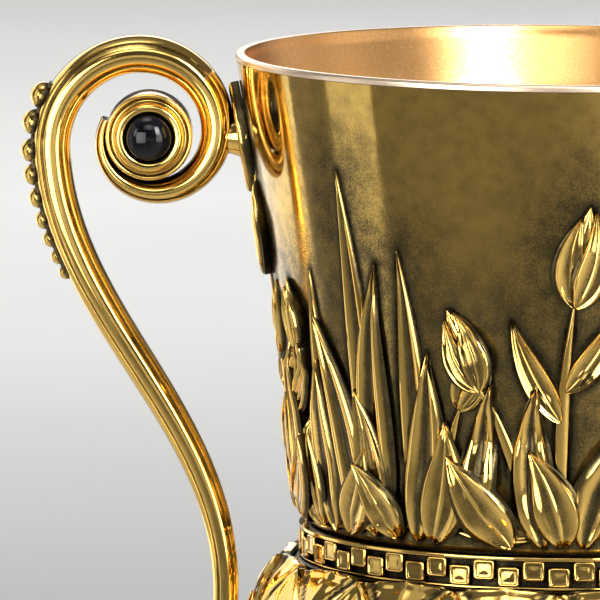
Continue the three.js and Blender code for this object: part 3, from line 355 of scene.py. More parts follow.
# Materials
class Tree:
    """A tree of shader nodes, with short ways to add and link them."""

    def __init__(self, node_tree):
        self.nodes, self.links = node_tree.nodes, node_tree.links

    def noise(self, scale, detail, stretch=(1, 1, 1)):
        """A noise pattern fixed to the object, with `scale` features to a metre."""
        place = self.nodes.new("ShaderNodeTexCoord")
        mapping = self.nodes.new("ShaderNodeMapping")
        mapping.inputs["Scale"].default_value = stretch
        pattern = self.nodes.new("ShaderNodeTexNoise")
        pattern.inputs["Scale"].default_value = scale
        pattern.inputs["Detail"].default_value = detail
        self.links.new(place.outputs["Object"], mapping.inputs["Vector"])
        self.links.new(mapping.outputs["Vector"], pattern.inputs["Vector"])
        return pattern.outputs["Fac"]

    def remap(self, value, low, high, to_low, to_high):
        scaled = self.nodes.new("ShaderNodeMapRange")
        sockets = ("From Min", "From Max", "To Min", "To Max")
        for socket, number in zip(sockets, (low, high, to_low, to_high)):
            scaled.inputs[socket].default_value = number
        self.links.new(value, scaled.inputs["Value"])
        return scaled.outputs["Result"]

    def combine(self, operation, a, b):
        node = self.nodes.new("ShaderNodeMath")
        node.operation = operation
        for socket, value in zip(node.inputs, (a, b)):
            if isinstance(value, (int, float)):
                socket.default_value = value
            else:
                self.links.new(value, socket)
        return node.outputs[0]

    def ramp(self, value, stops):
        node = self.nodes.new("ShaderNodeValToRGB")
        elements = node.color_ramp.elements
        while len(elements) < len(stops):
            elements.new(0.5)
        for element, (position, color) in zip(elements, stops):
            element.position = position
            element.color = (*color, 1)
        self.links.new(value, node.inputs["Fac"])
        return node.outputs["Color"]


class Finish(Tree):
    """One material: a principled shader whose colour, roughness and bumps follow patterns."""

    def __init__(self, name, settings):
        self.material = bpy.data.materials.new(name)
        self.material.use_nodes = True
        super().__init__(self.material.node_tree)
        self.shader = self.nodes["Principled BSDF"]
        for socket, value in settings.items():
            self.shader.inputs[socket].default_value = value

    def done(self, color, roughness, *layers):
        """The material, with bumps in layers of (height, depth in metres), each laid over the last."""
        self.links.new(color, self.shader.inputs["Base Color"])
        self.links.new(roughness, self.shader.inputs["Roughness"])
        normal = None
        for height, depth in layers:
            bump = self.nodes.new("ShaderNodeBump")
            bump.inputs["Strength"].default_value = 1
            bump.inputs["Distance"].default_value = depth
            self.links.new(height, bump.inputs["Height"])
            if normal:
                self.links.new(normal, bump.inputs["Normal"])
            normal = bump.outputs["Normal"]
        self.links.new(normal, self.shader.inputs["Normal"])
        return self.material


METAL = {"Metallic": 1}
# Gold tones from bright to near black, driven by the patina and painted shade
GOLD_TONES = [(0.0, (0.93, 0.605, 0.16)), (0.3, (0.6, 0.39, 0.105)), (0.6, (0.13, 0.098, 0.04)),
              (1.0, (0.012, 0.009, 0.006))]
SATIN_TONES = [(0.35, (0.84, 0.42, 0.14)), (0.55, (0.88, 0.47, 0.17)), (0.7, (1.0, 0.62, 0.3))]
LIP_TONES = [(0.3, (0.88, 0.67, 0.48)), (0.7, (0.93, 0.72, 0.53))]
STONE_TONES = [(0.35, (0.002, 0.002, 0.003)), (0.75, (0.008, 0.008, 0.011))]
STEEL_TONES = [(0.3, (0.36, 0.37, 0.38)), (0.7, (0.6, 0.61, 0.62))]
FELT_TONES = [(0.3, (0.012, 0.035, 0.02)), (0.7, (0.035, 0.085, 0.05))]
FLOOR_TONES = [(0.3, (0.59, 0.585, 0.575)), (0.7, (0.63, 0.625, 0.615))]
SKY_TONES = [(0.0, (0.06, 0.06, 0.065)), (0.3, (0.08, 0.08, 0.08)), (1.0, (0.18, 0.18, 0.18))]


def make_gold(name, ripple, crevice):
    """Mirror gold plate, dark where the marks of patina and painted shade say so, and with painted shade from
    ambient occlusion in recesses within reach of `crevice` metres.
    """
    finish = Finish(name, METAL)
    # The marks of patina and painted shade laid on each point
    marks = finish.nodes.new("ShaderNodeAttribute")
    marks.attribute_name = "patina_and_painted_shade"
    # Painted shade: ambient occlusion darkens the gold in recesses
    recess = finish.nodes.new("ShaderNodeAmbientOcclusion")
    recess.samples = 6
    recess.inputs["Distance"].default_value = crevice
    closed = finish.remap(recess.outputs["AO"], 0.8, 0.3, 0, 1)
    patina_and_shade = finish.combine("MAXIMUM", marks.outputs["Fac"], closed)
    tinted = finish.remap(patina_and_shade, 0.02, 0.3, 0, 1)
    darkened = finish.remap(patina_and_shade, 0.25, 0.5, 0.1, 1)
    smudge = finish.remap(finish.noise(420, 3), 0.35, 0.7, -0.07, 0.07)
    speckle = finish.remap(finish.noise(4200, 1), 0.3, 0.7, -0.09, 0.09)
    patina_and_shade = finish.combine("ADD", patina_and_shade, finish.combine("MULTIPLY", smudge, tinted))
    patina_and_shade = finish.combine("ADD", patina_and_shade, finish.combine("MULTIPLY", speckle, darkened))
    polish = finish.remap(finish.noise(260, 3), 0.3, 0.7, 0.045, 0.11)
    dull = finish.remap(patina_and_shade, 0.35, 0.95, 0, 0.35)
    return finish.done(finish.ramp(patina_and_shade, GOLD_TONES), finish.combine("ADD", polish, dull),
                       (finish.noise(130, 1.5), ripple), (finish.noise(2400, 2), 0.0000025))


def make_satin():
    """Satin rose gold, with a fine grain over broad changes of tone."""
    finish = Finish("satin_rose_gold", METAL)
    grain, tone = finish.noise(3000, 1), finish.noise(60, 3)
    fine, broad = finish.combine("MULTIPLY", grain, 0.6), finish.combine("MULTIPLY", tone, 0.4)
    mixed = finish.combine("ADD", fine, broad)
    return finish.done(finish.ramp(mixed, SATIN_TONES), finish.remap(tone, 0.3, 0.7, 0.27, 0.33),
                       (grain, 0.00001))


def make_plain(name, settings, tones, color, rough, roughness, relief, depth):
    """A material whose colour, roughness and relief each follow a noise of its own scale and detail."""
    finish = Finish(name, settings)
    return finish.done(finish.ramp(finish.noise(*color), tones),
                       finish.remap(finish.noise(*rough), 0.3, 0.7, *roughness),
                       (finish.noise(*relief), depth))


GRAIN, LINES, NAP, TONE = (2600, 1), (1800, 3, (1, 1, 6)), (2600, 6), (3, 3)
gold = make_gold("polished_gold", 0.00003, 0.0011)
plain_gold = make_gold("plain_polished_gold", 0.00002, 0.0008)
satin = make_satin()
lip_metal = make_plain("brushed_lip", METAL, LIP_TONES, GRAIN, (90, 3), (0.27, 0.33), GRAIN, 0.000001)
stone = make_plain("black_stone", {"Specular IOR Level": 0.3}, STONE_TONES, (500, 4), (900, 2), (0.03, 0.07),
                   (700, 1), 0.000004)
steel = make_plain("turned_steel", METAL, STEEL_TONES, LINES, LINES, (0.28, 0.45), LINES, 0.00001)
felt = make_plain("green_felt", {"Sheen Weight": 0.4}, FELT_TONES, NAP, NAP, (0.85, 1), NAP, 0.0002)
pale_floor = make_plain("pale_floor", {"Specular IOR Level": 0.15}, FLOOR_TONES, TONE, TONE, (0.9, 1),
                        (400, 3), 0.00005)

# The walls that carry leaves
foot_wall = wall_of(bezier([
    (FOOT_RADIUS - FOOT_STEP, FOOT_EDGE_HEIGHT + 1.6),
    (FOOT_RADIUS - FOOT_STEP - 1, FOOT_HEIGHT - 8),
    (FOOT_TOP_RADIUS + 6, FOOT_HEIGHT - 12),
    (FOOT_TOP_RADIUS, FOOT_HEIGHT - 1.5),
], 200))
calyx_wall = wall_of(
    bezier([(CALYX_FOOT, 0), (CALYX_RADIUS - 10, 1), (CALYX_RADIUS, CALYX_WIDEST - 15),
            (CALYX_RADIUS, CALYX_WIDEST)], 200),
    bezier([(CALYX_RADIUS, CALYX_WIDEST), (CALYX_RADIUS, CALYX_WIDEST + 6),
            (CALYX_RADIUS - 1, CALYX_HEIGHT - 3), (CALYX_TOP, CALYX_HEIGHT)], 200),
)
SHOULDER = COLLAR_HEIGHT + FIT
bowl_wall = wall_of(bezier([
    (BOWL_BASE, SHOULDER),
    (BOWL_BASE + (RIM_RADIUS - BOWL_BASE) * (1 - BOWL_FLARE) / 2, (SHOULDER + BOWL_HEIGHT) / 2),
    (RIM_RADIUS, BOWL_HEIGHT),
], 400))
foot_run, calyx_run, bowl_run = (wall[0][-1] for wall in (foot_wall, calyx_wall, bowl_wall))
bowl_run_at, bowl_radius_at = bowl_wall[0], bowl_wall[1][:, 0]


def bowl_radius(height):
    return float(np.interp(height, bowl_wall[1][:, 1], bowl_wall[1][:, 0]))


def shell_bore(height):
    thinning = min(max((height - BOWL_HEIGHT + SHELL_THINNING) / SHELL_THINNING, 0), 1)
    return bowl_radius(height) - SHELL_WALL - (SHELL_EDGE - SHELL_WALL) * thinning


def leaf_row(wall, leaves, turn, root, tip, drop, lift, z, cover=None, fine=24):
    """A closed band of pointed leaves side by side. Its free edge stands off the wall.

    `cover` is the tip and drop of the row that covers its roots, half a leaf further round."""
    columns = leaves * fine
    spin = 2 * np.pi * np.arange(columns) / columns
    share = (np.arange(columns) / fine + 0.5) % 1 * 2 - 1
    way = math.copysign(1, tip - root)
    edge = tip - way * drop * np.abs(share) ** LEAF_POINT
    q = np.linspace(0, 1, LEAF_ROWS)[:, None] ** 0.6
    up = root + q * (edge - root)
    run, path, _ = wall
    half = np.pi * np.interp(np.clip(up, 0, run[-1]), run, path[:, 0]) / leaves
    inward = np.abs(edge - up)
    belly = LEAF_BELLY * (1 - share**2) * np.sin(np.pi * np.clip(0.25 + 0.6 * q, 0, 1))
    seam = (1 - np.abs(share)) * half
    rim = LEAF_RIM * hump(inward - LEAF_RIM_INSET, 0.5)
    keel = LEAF_KEEL * hump(share * half, 0.9) * np.clip((q - 0.15) / 0.3, 0, 1)
    off = lift * (0.08 + 0.85 * q) + belly * lift + rim + keel
    off = off - LEAF_SEAM * hump(seam, LEAF_SEAM_WIDTH) * (1 - 0.6 * q)
    off = off - 0.4 * hump(inward, LEAF_EDGE_WIDTH)
    # Patina and painted shade in the seams between leaves and along their edges
    patina_and_shade = np.clip(1.2 * hump(seam, LEAF_SEAM_WIDTH), 0, 1)
    patina_and_shade = np.maximum(patina_and_shade, 0.45 * hump(inward, LEAF_EDGE_WIDTH))
    # Painted shade where the covering row's edges lie over this one
    if cover:
        past = way * (up - cover[0]) + cover[1] * (1 - np.abs(share)) ** LEAF_POINT
        patina_and_shade = np.maximum(patina_and_shade, hump(past - LEAF_CREASE_AT, 0.6))
        off = off - 0.3 * hump(past - LEAF_CREASE_AT, 0.7)
    top = on_wall(wall, turn + spin, 0, up, off, z)
    under = []
    for beyond, level in ((0.1, 0.6), (0.05, 0.1), (-0.3, -0.4)):
        under.append(on_wall(wall, turn + spin, 0, edge + way * beyond, lift * level, z))
    under.append(on_wall(wall, turn + spin, 0, root + 0 * edge, -1.0, z))
    # Painted shade under the free edge and on the hidden underside
    marks = np.vstack([patina_and_shade] + [np.full(columns, m) for m in (0.8, 1.0, 1.0, 1.0)])
    return ring_solid(np.concatenate([top, np.stack(under)]), marks)


# Foot
def make_foot():
    dome = on_wall(foot_wall, 0, 0, np.linspace(0, foot_run, 60), 0)[:, [0, 2]]
    hollow = dome[12:46:3][::-1] - (2.4, 2.4)
    outline = [
        (FOOT_RADIUS, 0, 0.4),
        (FOOT_RADIUS, FOOT_EDGE_HEIGHT - 1.3, 0.5),
        (FOOT_RADIUS - 0.5, FOOT_EDGE_HEIGHT - 0.9, 0.3),
        (FOOT_RADIUS - 0.3, FOOT_EDGE_HEIGHT - 0.3, 0.4),
        (FOOT_RADIUS - 1.3, FOOT_EDGE_HEIGHT, 0.5),
        (FOOT_RADIUS - 2.2, FOOT_EDGE_HEIGHT - 0.3, 0.3),
        (FOOT_RADIUS - 2.7, FOOT_EDGE_HEIGHT + 0.7, 0.5),
        (FOOT_RADIUS - 3.3, FOOT_EDGE_HEIGHT + 0.9, 0.3),
        *map(tuple, dome),
        (FOOT_TOP_RADIUS - 0.3, FOOT_HEIGHT - 1.1, 0.3),
        (FOOT_TOP_RADIUS + 0.1, FOOT_HEIGHT - 0.6, 0.4),
        (FOOT_TOP_RADIUS - 0.2, FOOT_HEIGHT, 0.3),
        (ROD_BORE, FOOT_HEIGHT),
        (ROD_BORE, FOOT_HEIGHT - 4),
        (9, FOOT_HEIGHT - 4),
        *map(tuple, hollow),
        (BASE_PLATE_RADIUS - 2, 3),
        (BASE_PLATE_RADIUS + FIT, 3),
        (BASE_PLATE_RADIUS + FIT, 0),
    ]
    body = turned(rounded(outline), 256, FOOT_Z)
    leaves = leaf_row(foot_wall, FOOT_LEAVES, 0, foot_run - 5, FOOT_LEAF_TIPS, FOOT_LEAF_DROP, 0.8, FOOT_Z,
                      fine=40)
    piece("foot_casting", [body, leaves], gold, ["foot"])


# Stem
def make_stem():
    trumpet = [
        (ROD_BORE, 0),
        (FOOT_TOP_RADIUS - 0.4, 0, 0.2),
        (FOOT_TOP_RADIUS - 0.4, 1.6, 0.4),
        (FOOT_TOP_RADIUS - 1.3, 2.1, 0.2),
        *map(tuple, bezier([
            (FOOT_TOP_RADIUS - 1.5, 2.4),
            (TRUMPET_WAIST + 1, 3.5),
            (TRUMPET_WAIST, TRUMPET_HEIGHT - 10),
            (TRUMPET_WAIST, TRUMPET_HEIGHT - 2.2),
        ], 40)),
        (STEM_SEAT, TRUMPET_HEIGHT - 1.4, 0.3),
        (STEM_SEAT, TRUMPET_HEIGHT, 0.2),
        (ROD_BORE, TRUMPET_HEIGHT),
    ]
    neck = [
        (ROD_BORE, 0),
        (STEM_SEAT, 0, 0.2),
        (STEM_SEAT, 1.2, 0.3),
        *map(tuple, bezier([
            (NECK_WAIST, 2),
            (NECK_WAIST, 5),
            (NECK_WAIST + 1, NECK_HEIGHT - 3),
            (CALYX_FOOT - 1, NECK_HEIGHT - 1.7),
        ], 30)),
        (CALYX_FOOT - 0.2, NECK_HEIGHT - 1.3, 0.2),
        (CALYX_FOOT, NECK_HEIGHT, 0.4),
        (ROD_BORE, NECK_HEIGHT),
    ]
    for name, outline, z in (("trumpet", trumpet, TRUMPET_Z), ("neck", neck, NECK_Z)):
        piece(f"stem_{name}_turning", [turned(rounded(outline), 160, z)], plain_gold,
              [f"stem_{name}"])
    arc = np.linspace(-1.45, 1.45, 24)
    bulge = [(STEM_SEAT + (RING_RADIUS - STEM_SEAT) * math.cos(a), RING_HEIGHT / 2 * (1 + 0.93 * math.sin(a)))
             for a in arc]
    ring = rounded([(ROD_BORE, 0), (STEM_SEAT, 0), *bulge, (STEM_SEAT, RING_HEIGHT), (ROD_BORE, RING_HEIGHT)])
    for name, z in (("lower", LOWER_RING_Z), ("upper", UPPER_RING_Z)):
        piece(f"knop_ring_{name}_turning", [turned(ring, 160, z)], plain_gold,
              [f"knop_ring_{name}"])


def make_knop():
    side = bezier([(STEM_SEAT, 0), (KNOP_RADIUS + 2, 1), (KNOP_RADIUS + 2, KNOP_HEIGHT - 1),
                   (STEM_SEAT, KNOP_HEIGHT)], 60)
    outline = np.vstack([[(ROD_BORE, 0)], side, [(ROD_BORE, KNOP_HEIGHT)]])
    points, faces, patina_and_shade = turned(outline, KNOP_LOBES * 24, KNOP_Z)
    r = np.hypot(points[:, 0], points[:, 1])
    angle = np.arctan2(points[:, 1], points[:, 0])
    groove = (1 - np.abs(np.sin(KNOP_LOBES / 2 * angle))) ** 1.6
    depth = KNOP_VALLEY * groove * np.clip((r - STEM_SEAT) / (KNOP_RADIUS - STEM_SEAT), 0, None)
    points[:, :2] *= ((r - depth) / r)[:, None]
    # Patina and painted shade in the valleys between the lobes
    patina_and_shade = np.clip(groove**4 * 1.2 * (depth > 0.15), 0, 1)
    piece("knop_casting", [(points, faces, patina_and_shade)], gold, ["knop"])


# Calyx
def make_calyx():
    outer = on_wall(calyx_wall, 0, 0, np.linspace(0, calyx_run, 90), -0.45)[:, [0, 2]]
    inner = outer[30:74:4][::-1] - (2.2, 0)
    outline = [
        (CALYX_FOOT, 0, 0.2),
        *map(tuple, outer[1:-1]),
        (CALYX_TOP - 0.5, CALYX_HEIGHT, 0.2),
        (CALYX_MOUTH, CALYX_HEIGHT),
        (CALYX_MOUTH, CALYX_HEIGHT - 2.5),
        *map(tuple, inner),
        (ROD_BORE, 4.5),
        (ROD_BORE, 0),
    ]
    # Painted shade on the bulb, dark under and between the leaves
    bulb = turned(rounded(outline), 128, CALYX_Z, 0.9)
    rows = []
    for row in range(CALYX_ROWS):
        tip = CALYX_TIPS - row * CALYX_ROW_SPACING
        root = max(tip - CALYX_ROW_SPACING - CALYX_LEAF_DROP - 2, 0.4)
        turn = np.pi / CALYX_LEAVES * (row % 2)
        drop = CALYX_LEAF_DROP if tip - root > CALYX_LEAF_DROP + 2 else (tip - root) * 0.7
        cover = (tip - CALYX_ROW_SPACING, CALYX_LEAF_DROP) if row < CALYX_ROWS - 1 else None
        tip = min(tip, calyx_run - 0.2)
        rows.append(leaf_row(calyx_wall, CALYX_LEAVES, turn, root, tip, drop, 1, CALYX_Z, cover))
    hidden = leaf_row(calyx_wall, CALYX_LEAVES, np.pi / CALYX_LEAVES, CALYX_TIPS - HIDDEN_ROW_REACH,
                      calyx_run - 0.1, 0.5, 0.75, CALYX_Z, (calyx_run - 0.2, CALYX_LEAF_DROP))
    piece("calyx_leaves", [bulb, hidden, *rows], gold, ["calyx"])


# Collar of billets. A billet's profile from its foot to the middle of its face: inset, depth, and patina with
# painted shade, darkest at its foot
BILLET = [(0, -0.3, 1.0), (0, 0.6, 0.9), (0.02, 0.85, 0.5), (0.06, 1.05, 0.05), (0.14, 1.17, 0),
          (0.24, 1.2, 0), (0.32, 1.16, 0.1), (0.4, 1.02, 0.5), (0.55, 1.0, 0.4), (0.9, 1.03, 0.3)]


def make_collar():
    ground = COLLAR_GROUND
    edge = ground + BILLET_DEPTH
    outline = [
        (BOWL_SEAT + FIT, 0),
        (edge, 0, 0.12),
        (edge, COLLAR_FILLET, 0.12),
        (ground, COLLAR_FILLET),
        (ground, COLLAR_HEIGHT - COLLAR_FILLET),
        (edge, COLLAR_HEIGHT - COLLAR_FILLET, 0.12),
        (edge, COLLAR_HEIGHT, 0.12),
        (BOWL_SEAT + FIT, COLLAR_HEIGHT),
    ]
    # Painted shade on the collar's recessed ground between the billets
    dark = [1.0 if r < edge - 0.2 and 0.1 < z < COLLAR_HEIGHT - 0.1 else 0.1 for r, z in rounded(outline)]
    parts = [turned(rounded(outline), 256, BOWL_Z, dark)]
    marks = np.repeat([mark for _, _, mark in BILLET], len(ROUNDED_SQUARE))
    stands = COLLAR_FILLET + BILLET_HEIGHT / 2
    for row, middle in enumerate((stands, COLLAR_HEIGHT - stands)):
        for i in range(BILLETS):
            turn = 2 * math.pi * (i + row / 2) / BILLETS
            rings = []
            for inset, depth, _ in BILLET:
                angle = turn + ROUNDED_SQUARE[:, 0] * (BILLET_WIDTH / 2 - inset) / ground
                h = ROUNDED_SQUARE[:, 1] * (BILLET_HEIGHT / 2 - inset)
                rings.append(about_axis(ground + depth, angle, BOWL_Z + middle + h))
            parts.append(capped(np.stack(rings), marks))
    piece("collar_of_billets", parts, gold, ["billet_collar"], crease=50)


# Sections across a leaf, from its edge to its middle: side, rise and patina with painted shade, dark at the
# edges and in the hollows
REED = [(1.24, -0.1, 1), (1.06, 0.02, 1), (0.97, 0.3, 0.85), (0.88, 0.74, 0.2), (0.74, 1, 0),
        (0.58, 0.98, 0), (0.44, 0.78, 0.08), (0.3, 0.46, 0.45), (0.14, 0.24, 0.72), (0, 0.18, 0.85)]
BOAT = [(1.2, -0.1, 1), (1.05, 0.03, 1), (0.98, 0.35, 0.8), (0.92, 0.8, 0.2), (0.84, 1, 0), (0.73, 0.93, 0),
        (0.62, 0.66, 0.2), (0.42, 0.42, 0.42), (0.18, 0.3, 0.5), (0.09, 0.34, 0.3), (0.04, 0.5, 0.02),
        (0, 0.54, 0)]
PETAL = [(1.2, -0.1, 1), (1.04, 0.05, 1), (0.96, 0.35, 0.6), (0.82, 0.66, 0.1), (0.64, 0.84, 0),
         (0.48, 0.88, 0.05), (0.38, 0.78, 0.5), (0.28, 0.92, 0.05), (0.12, 1, 0), (0, 1.02, 0)]
STALK = [(1.3, -0.1, 1), (1.06, 0.05, 1), (0.95, 0.42, 0.6), (0.72, 0.78, 0.1), (0.38, 0.96, 0), (0, 1, 0)]


def leaf_width(t):
    return np.sin(np.pi * t ** (math.log(0.5) / math.log(BLADE_FULLEST)))


def along_edge(points, spacing=0.15):
    """Places no further apart than the spacing along a line of points."""
    return evenly(points, int(run_along(points)[-1] / spacing) + 2)


class Relief:
    """How far the carving laid so far stands out of the bowl's wall, on a grid round the bowl and up it."""

    def __init__(self, step=0.25):
        self.step = step
        self.columns = int(2 * math.pi * RIM_RADIUS / step)
        self.height = np.zeros((int(bowl_run / step) + 2, self.columns))

    def cells(self, angle, up):
        row = np.clip(up / self.step, 0, len(self.height) - 1).astype(int)
        column = np.floor(angle / (2 * np.pi) * self.columns).astype(int) % self.columns
        return row, column

    def under(self, angle, up):
        return self.height[self.cells(angle, up)]

    def lay(self, angle, up, off):
        np.maximum.at(self.height, self.cells(angle, up), off)


def spread(values, reach):
    """The greatest value within reach of each place, smoothed."""
    padded = np.pad(values, reach, mode="edge")
    widest = np.max([padded[k:k + len(values)] for k in range(2 * reach + 1)], axis=0)
    padded = np.pad(widest, reach, mode="edge")
    return np.mean([padded[k:k + len(values)] for k in range(2 * reach + 1)], axis=0)


def refined(grid, times):
    """A grid of numbers with more rows and columns, filled in between."""
    for axis in (0, 1):
        at = np.linspace(0, grid.shape[axis] - 1, grid.shape[axis] * times)
        low = np.minimum(at.astype(int), grid.shape[axis] - 2)
        share = (at - low)[:, None] if axis == 0 else at - low
        grid = np.take(grid, low, axis) * (1 - share) + np.take(grid, low + 1, axis) * share
    return grid


def blade(relief, turn, across, up, length, width, height, lean, bend, section):
    """A carved leaf on the bowl's wall, laid over those before it, and points along its edges.

    Its spine starts at (across, up), leans to the side and bends along its length, in degrees."""
    across, up, length = across * SPRAY_HEIGHT, SPRAY_RISE + up * SPRAY_HEIGHT, length * SPRAY_HEIGHT
    width, height = width * SPRAY_LEAF_WIDTH, height * SPRAY_LEAF_HEIGHT
    t = 0.5 - 0.5 * np.cos(np.linspace(0.06, np.pi - 0.03, BLADE_STATIONS))[:, None]
    left = [(-side, rise, patina_and_shade) for side, rise, patina_and_shade in section]
    side, rise, patina_and_shade = np.array(left + section[-2::-1]).T
    heading = np.radians(lean + bend * t)
    spine = np.radians(lean + bend * t / 2)
    half = width * leaf_width(t) / 2 + 0.06

    def place(reach):
        u = across + length * t * np.sin(spine) + reach * half * np.cos(heading)
        v = up + length * t * np.cos(spine) - reach * half * np.sin(heading)
        return u, v

    u, v = place(side)
    angle = turn + u / np.interp(v, bowl_run_at, bowl_radius_at)
    inside = np.abs(side) < 1
    under = relief.under(refined(angle[:, inside], 3), refined(v[:, inside], 3)).max(axis=1)
    below = spread(under.reshape(BLADE_STATIONS, 3).max(axis=1), 1)[:, None]
    full = height * np.clip(0.3 + 0.75 * leaf_width(t) ** 0.7, 0, 1) / (1 + 0.6 * below)
    lift = np.clip(below - rise[inside].min() * full, 0, 2.2)
    off = lift + rise * full
    relief.lay(refined(angle, 5), refined(v, 5), refined(off, 5))
    top = on_wall(bowl_wall, turn, u, v, off, BOWL_Z)
    back = [on_wall(bowl_wall, turn, *place(reach), -BLADE_SINK, BOWL_Z)[:, 0] for reach in (0.8, 0, -0.8)]
    rings = np.concatenate([top, np.stack(back, 1)], axis=1)
    # Painted shade and patina at the leaf's edges, less where it stands lifted off the wall; its hidden back
    # is all dark
    marks = np.where(np.abs(side) > 0.9, patina_and_shade * (1 - 0.2 * np.clip(lift / 0.8, 0, 1)), patina_and_shade)
    marks = np.concatenate([marks, np.ones((BLADE_STATIONS, 3))], axis=1)
    return capped(rings, marks), np.vstack([along_edge(top[:, 1]), along_edge(top[:, -2])])


def end_of(across, up, length, lean, bend):
    way = math.radians(lean + bend / 2)
    return across + length * math.sin(way), up + length * math.cos(way), lean + bend


def bud(across, up, length, lean, plump):
    """A closed bud of three petals that sits on a stalk's end."""
    u, v = across - 0.012 * math.sin(math.radians(lean)), up - 0.012 * math.cos(math.radians(lean))
    return [
        (u, v, length, 2.6 * length * plump, 0.8, lean, 0, PETAL),
        (u, v, length * 0.9, 1.7 * length * plump, 0.8, lean + 24, -40, BOAT),
        (u, v, length * 0.97, 1.8 * length * plump, 0.8, lean - 26, 46, BOAT),
    ]


def flower_stalk(across, up, length, lean, bend, size, plump):
    tip_across, tip_up, tip_lean = end_of(across, up, length, lean, bend)
    stalk = (across, up, length * 1.03, 0.26, 0.62, lean, bend, STALK)
    return [stalk, *bud(tip_across, tip_up, size, tip_lean, plump)]


def other_hand(shapes):
    return [(-across, up, length, width, height, -lean, -bend, section)
            for across, up, length, width, height, lean, bend, section in shapes]


# The leaves of a spray from back to front: across, up, length, width, height, lean, bend and section
REED_SPRAY = [
    (0.02, 0.08, 0.9, 0.55, 0.62, -3, 6, REED),
    (-0.13, 0.06, 0.72, 0.55, 0.62, -6, 8, REED),
    (0.14, 0.06, 0.64, 0.55, 0.62, 10, -12, REED),
    *flower_stalk(0.2, 0.02, 0.47, 0, 18, 0.2, 1.05),
    *flower_stalk(-0.2, 0.02, 0.37, -4, -22, 0.19, 1.05),
    (-0.04, 0, 0.74, 0.7, 0.9, 8, -22, REED),
    (0.07, 0, 0.6, 0.7, 0.9, -2, 26, REED),
    (-0.13, 0, 0.52, 0.7, 0.88, -14, 10, REED),
    (0.16, 0, 0.46, 0.7, 0.88, 12, -16, REED),
    (0.01, 0, 0.4, 0.74, 1, -10, 24, BOAT),
    (-0.18, 0, 0.34, 0.74, 0.95, -24, 26, BOAT),
    (0.22, 0, 0.31, 0.74, 0.95, 22, -28, BOAT),
    (0.1, 0, 0.26, 0.68, 1, -30, 16, BOAT),
    (-0.07, 0, 0.23, 0.66, 1, 12, 34, BOAT),
]
BUD_SPRAY = [
    *flower_stalk(-0.01, 0, 0.66, 4, -12, 0.27, 1.15),
    (0.0, 0.34, 0.3, 0.52, 0.75, 36, -20, BOAT),
    (-0.01, 0.42, 0.26, 0.5, 0.75, -46, 30, BOAT),
    *flower_stalk(0.06, 0, 0.46, 12, 14, 0.23, 1.1),
    *flower_stalk(-0.07, 0, 0.35, -20, -10, 0.22, 1.1),
    (-0.19, 0.02, 0.5, 0.55, 0.7, -8, 14, REED),
    (0.2, 0.02, 0.42, 0.55, 0.7, 8, -22, REED),
    (0.04, 0, 0.44, 0.68, 0.9, 16, -26, REED),
    (-0.06, 0, 0.38, 0.7, 0.9, -8, -26, REED),
    (-0.01, 0, 0.28, 0.74, 1, 6, 26, BOAT),
    (0.12, 0, 0.3, 0.74, 0.95, 38, -6, BOAT),
    (-0.13, 0, 0.28, 0.74, 0.95, -40, 28, BOAT),
]
FALLEN_LEAVES = [
    (0.05, 0.035, 0.32, 0.66, 0.85, 78, 10, BOAT),
    (-0.04, 0.05, 0.22, 0.56, 0.8, -66, -14, BOAT),
]
FRIEZE = {
    "fallen_leaves": (FALLEN_LEAVES, range(SPRAYS)),
    "reeds": (REED_SPRAY, (1, 3, 5, 7)),
    "buds": (BUD_SPRAY, (0, 2, 4, 6)),
}


def make_bowl():
    edges, relief = [], Relief()
    for name, (spray, places) in FRIEZE.items():
        blades = []
        for i in places:
            for shape in spray if i < SPRAYS / 2 else other_hand(spray):
                part, edge = blade(relief, 2 * math.pi * i / SPRAYS, *shape)
                blades.append(part)
                edges.append(edge)
        piece(f"frieze_of_{name}", blades, gold, ["bowl_shell"])
    edges = np.vstack(edges)
    tree = kdtree.KDTree(len(edges))
    for index, point in enumerate(edges):
        tree.insert(point, index)
    tree.balance()

    outer = on_wall(bowl_wall, 0, 0, np.linspace(0, bowl_run, 130), 0)[:, [0, 2]]
    bore = [(shell_bore(h), h) for h in np.linspace(BOWL_HEIGHT, 9, 10)]
    outline = [
        (BOWL_SEAT - 2, 0),
        (BOWL_SEAT, 0),
        (BOWL_SEAT, SHOULDER),
        (BOWL_BASE - 0.25, SHOULDER),
        *map(tuple, outer[1:]),
        *bore,
        (BOWL_SEAT - 2, SHOULDER),
    ]
    points, faces, _ = turned(outline, 640, BOWL_Z)
    # Patina and painted shade on the wall: darker all over, dark outlines next to the carving, wider painted
    # shade round it and patina at the shoulder
    near = np.array([tree.find(point)[2] for point in points])
    patina_and_shade = GROUND_PATINA_AND_SHADE + CLOSE_PATINA_AND_SHADE * hump(near, CLOSE_REACH) + SHADE_PATINA * hump(near, SHADE_REACH)
    base = points[:, 2] - BOWL_Z - SHOULDER
    patina_and_shade = np.maximum(patina_and_shade, SHOULDER_PATINA * hump(base, 0.5))
    wall = (points, faces, np.clip(patina_and_shade, 0, 1))
    piece("bowl_wall", [wall], gold, ["bowl_shell"])


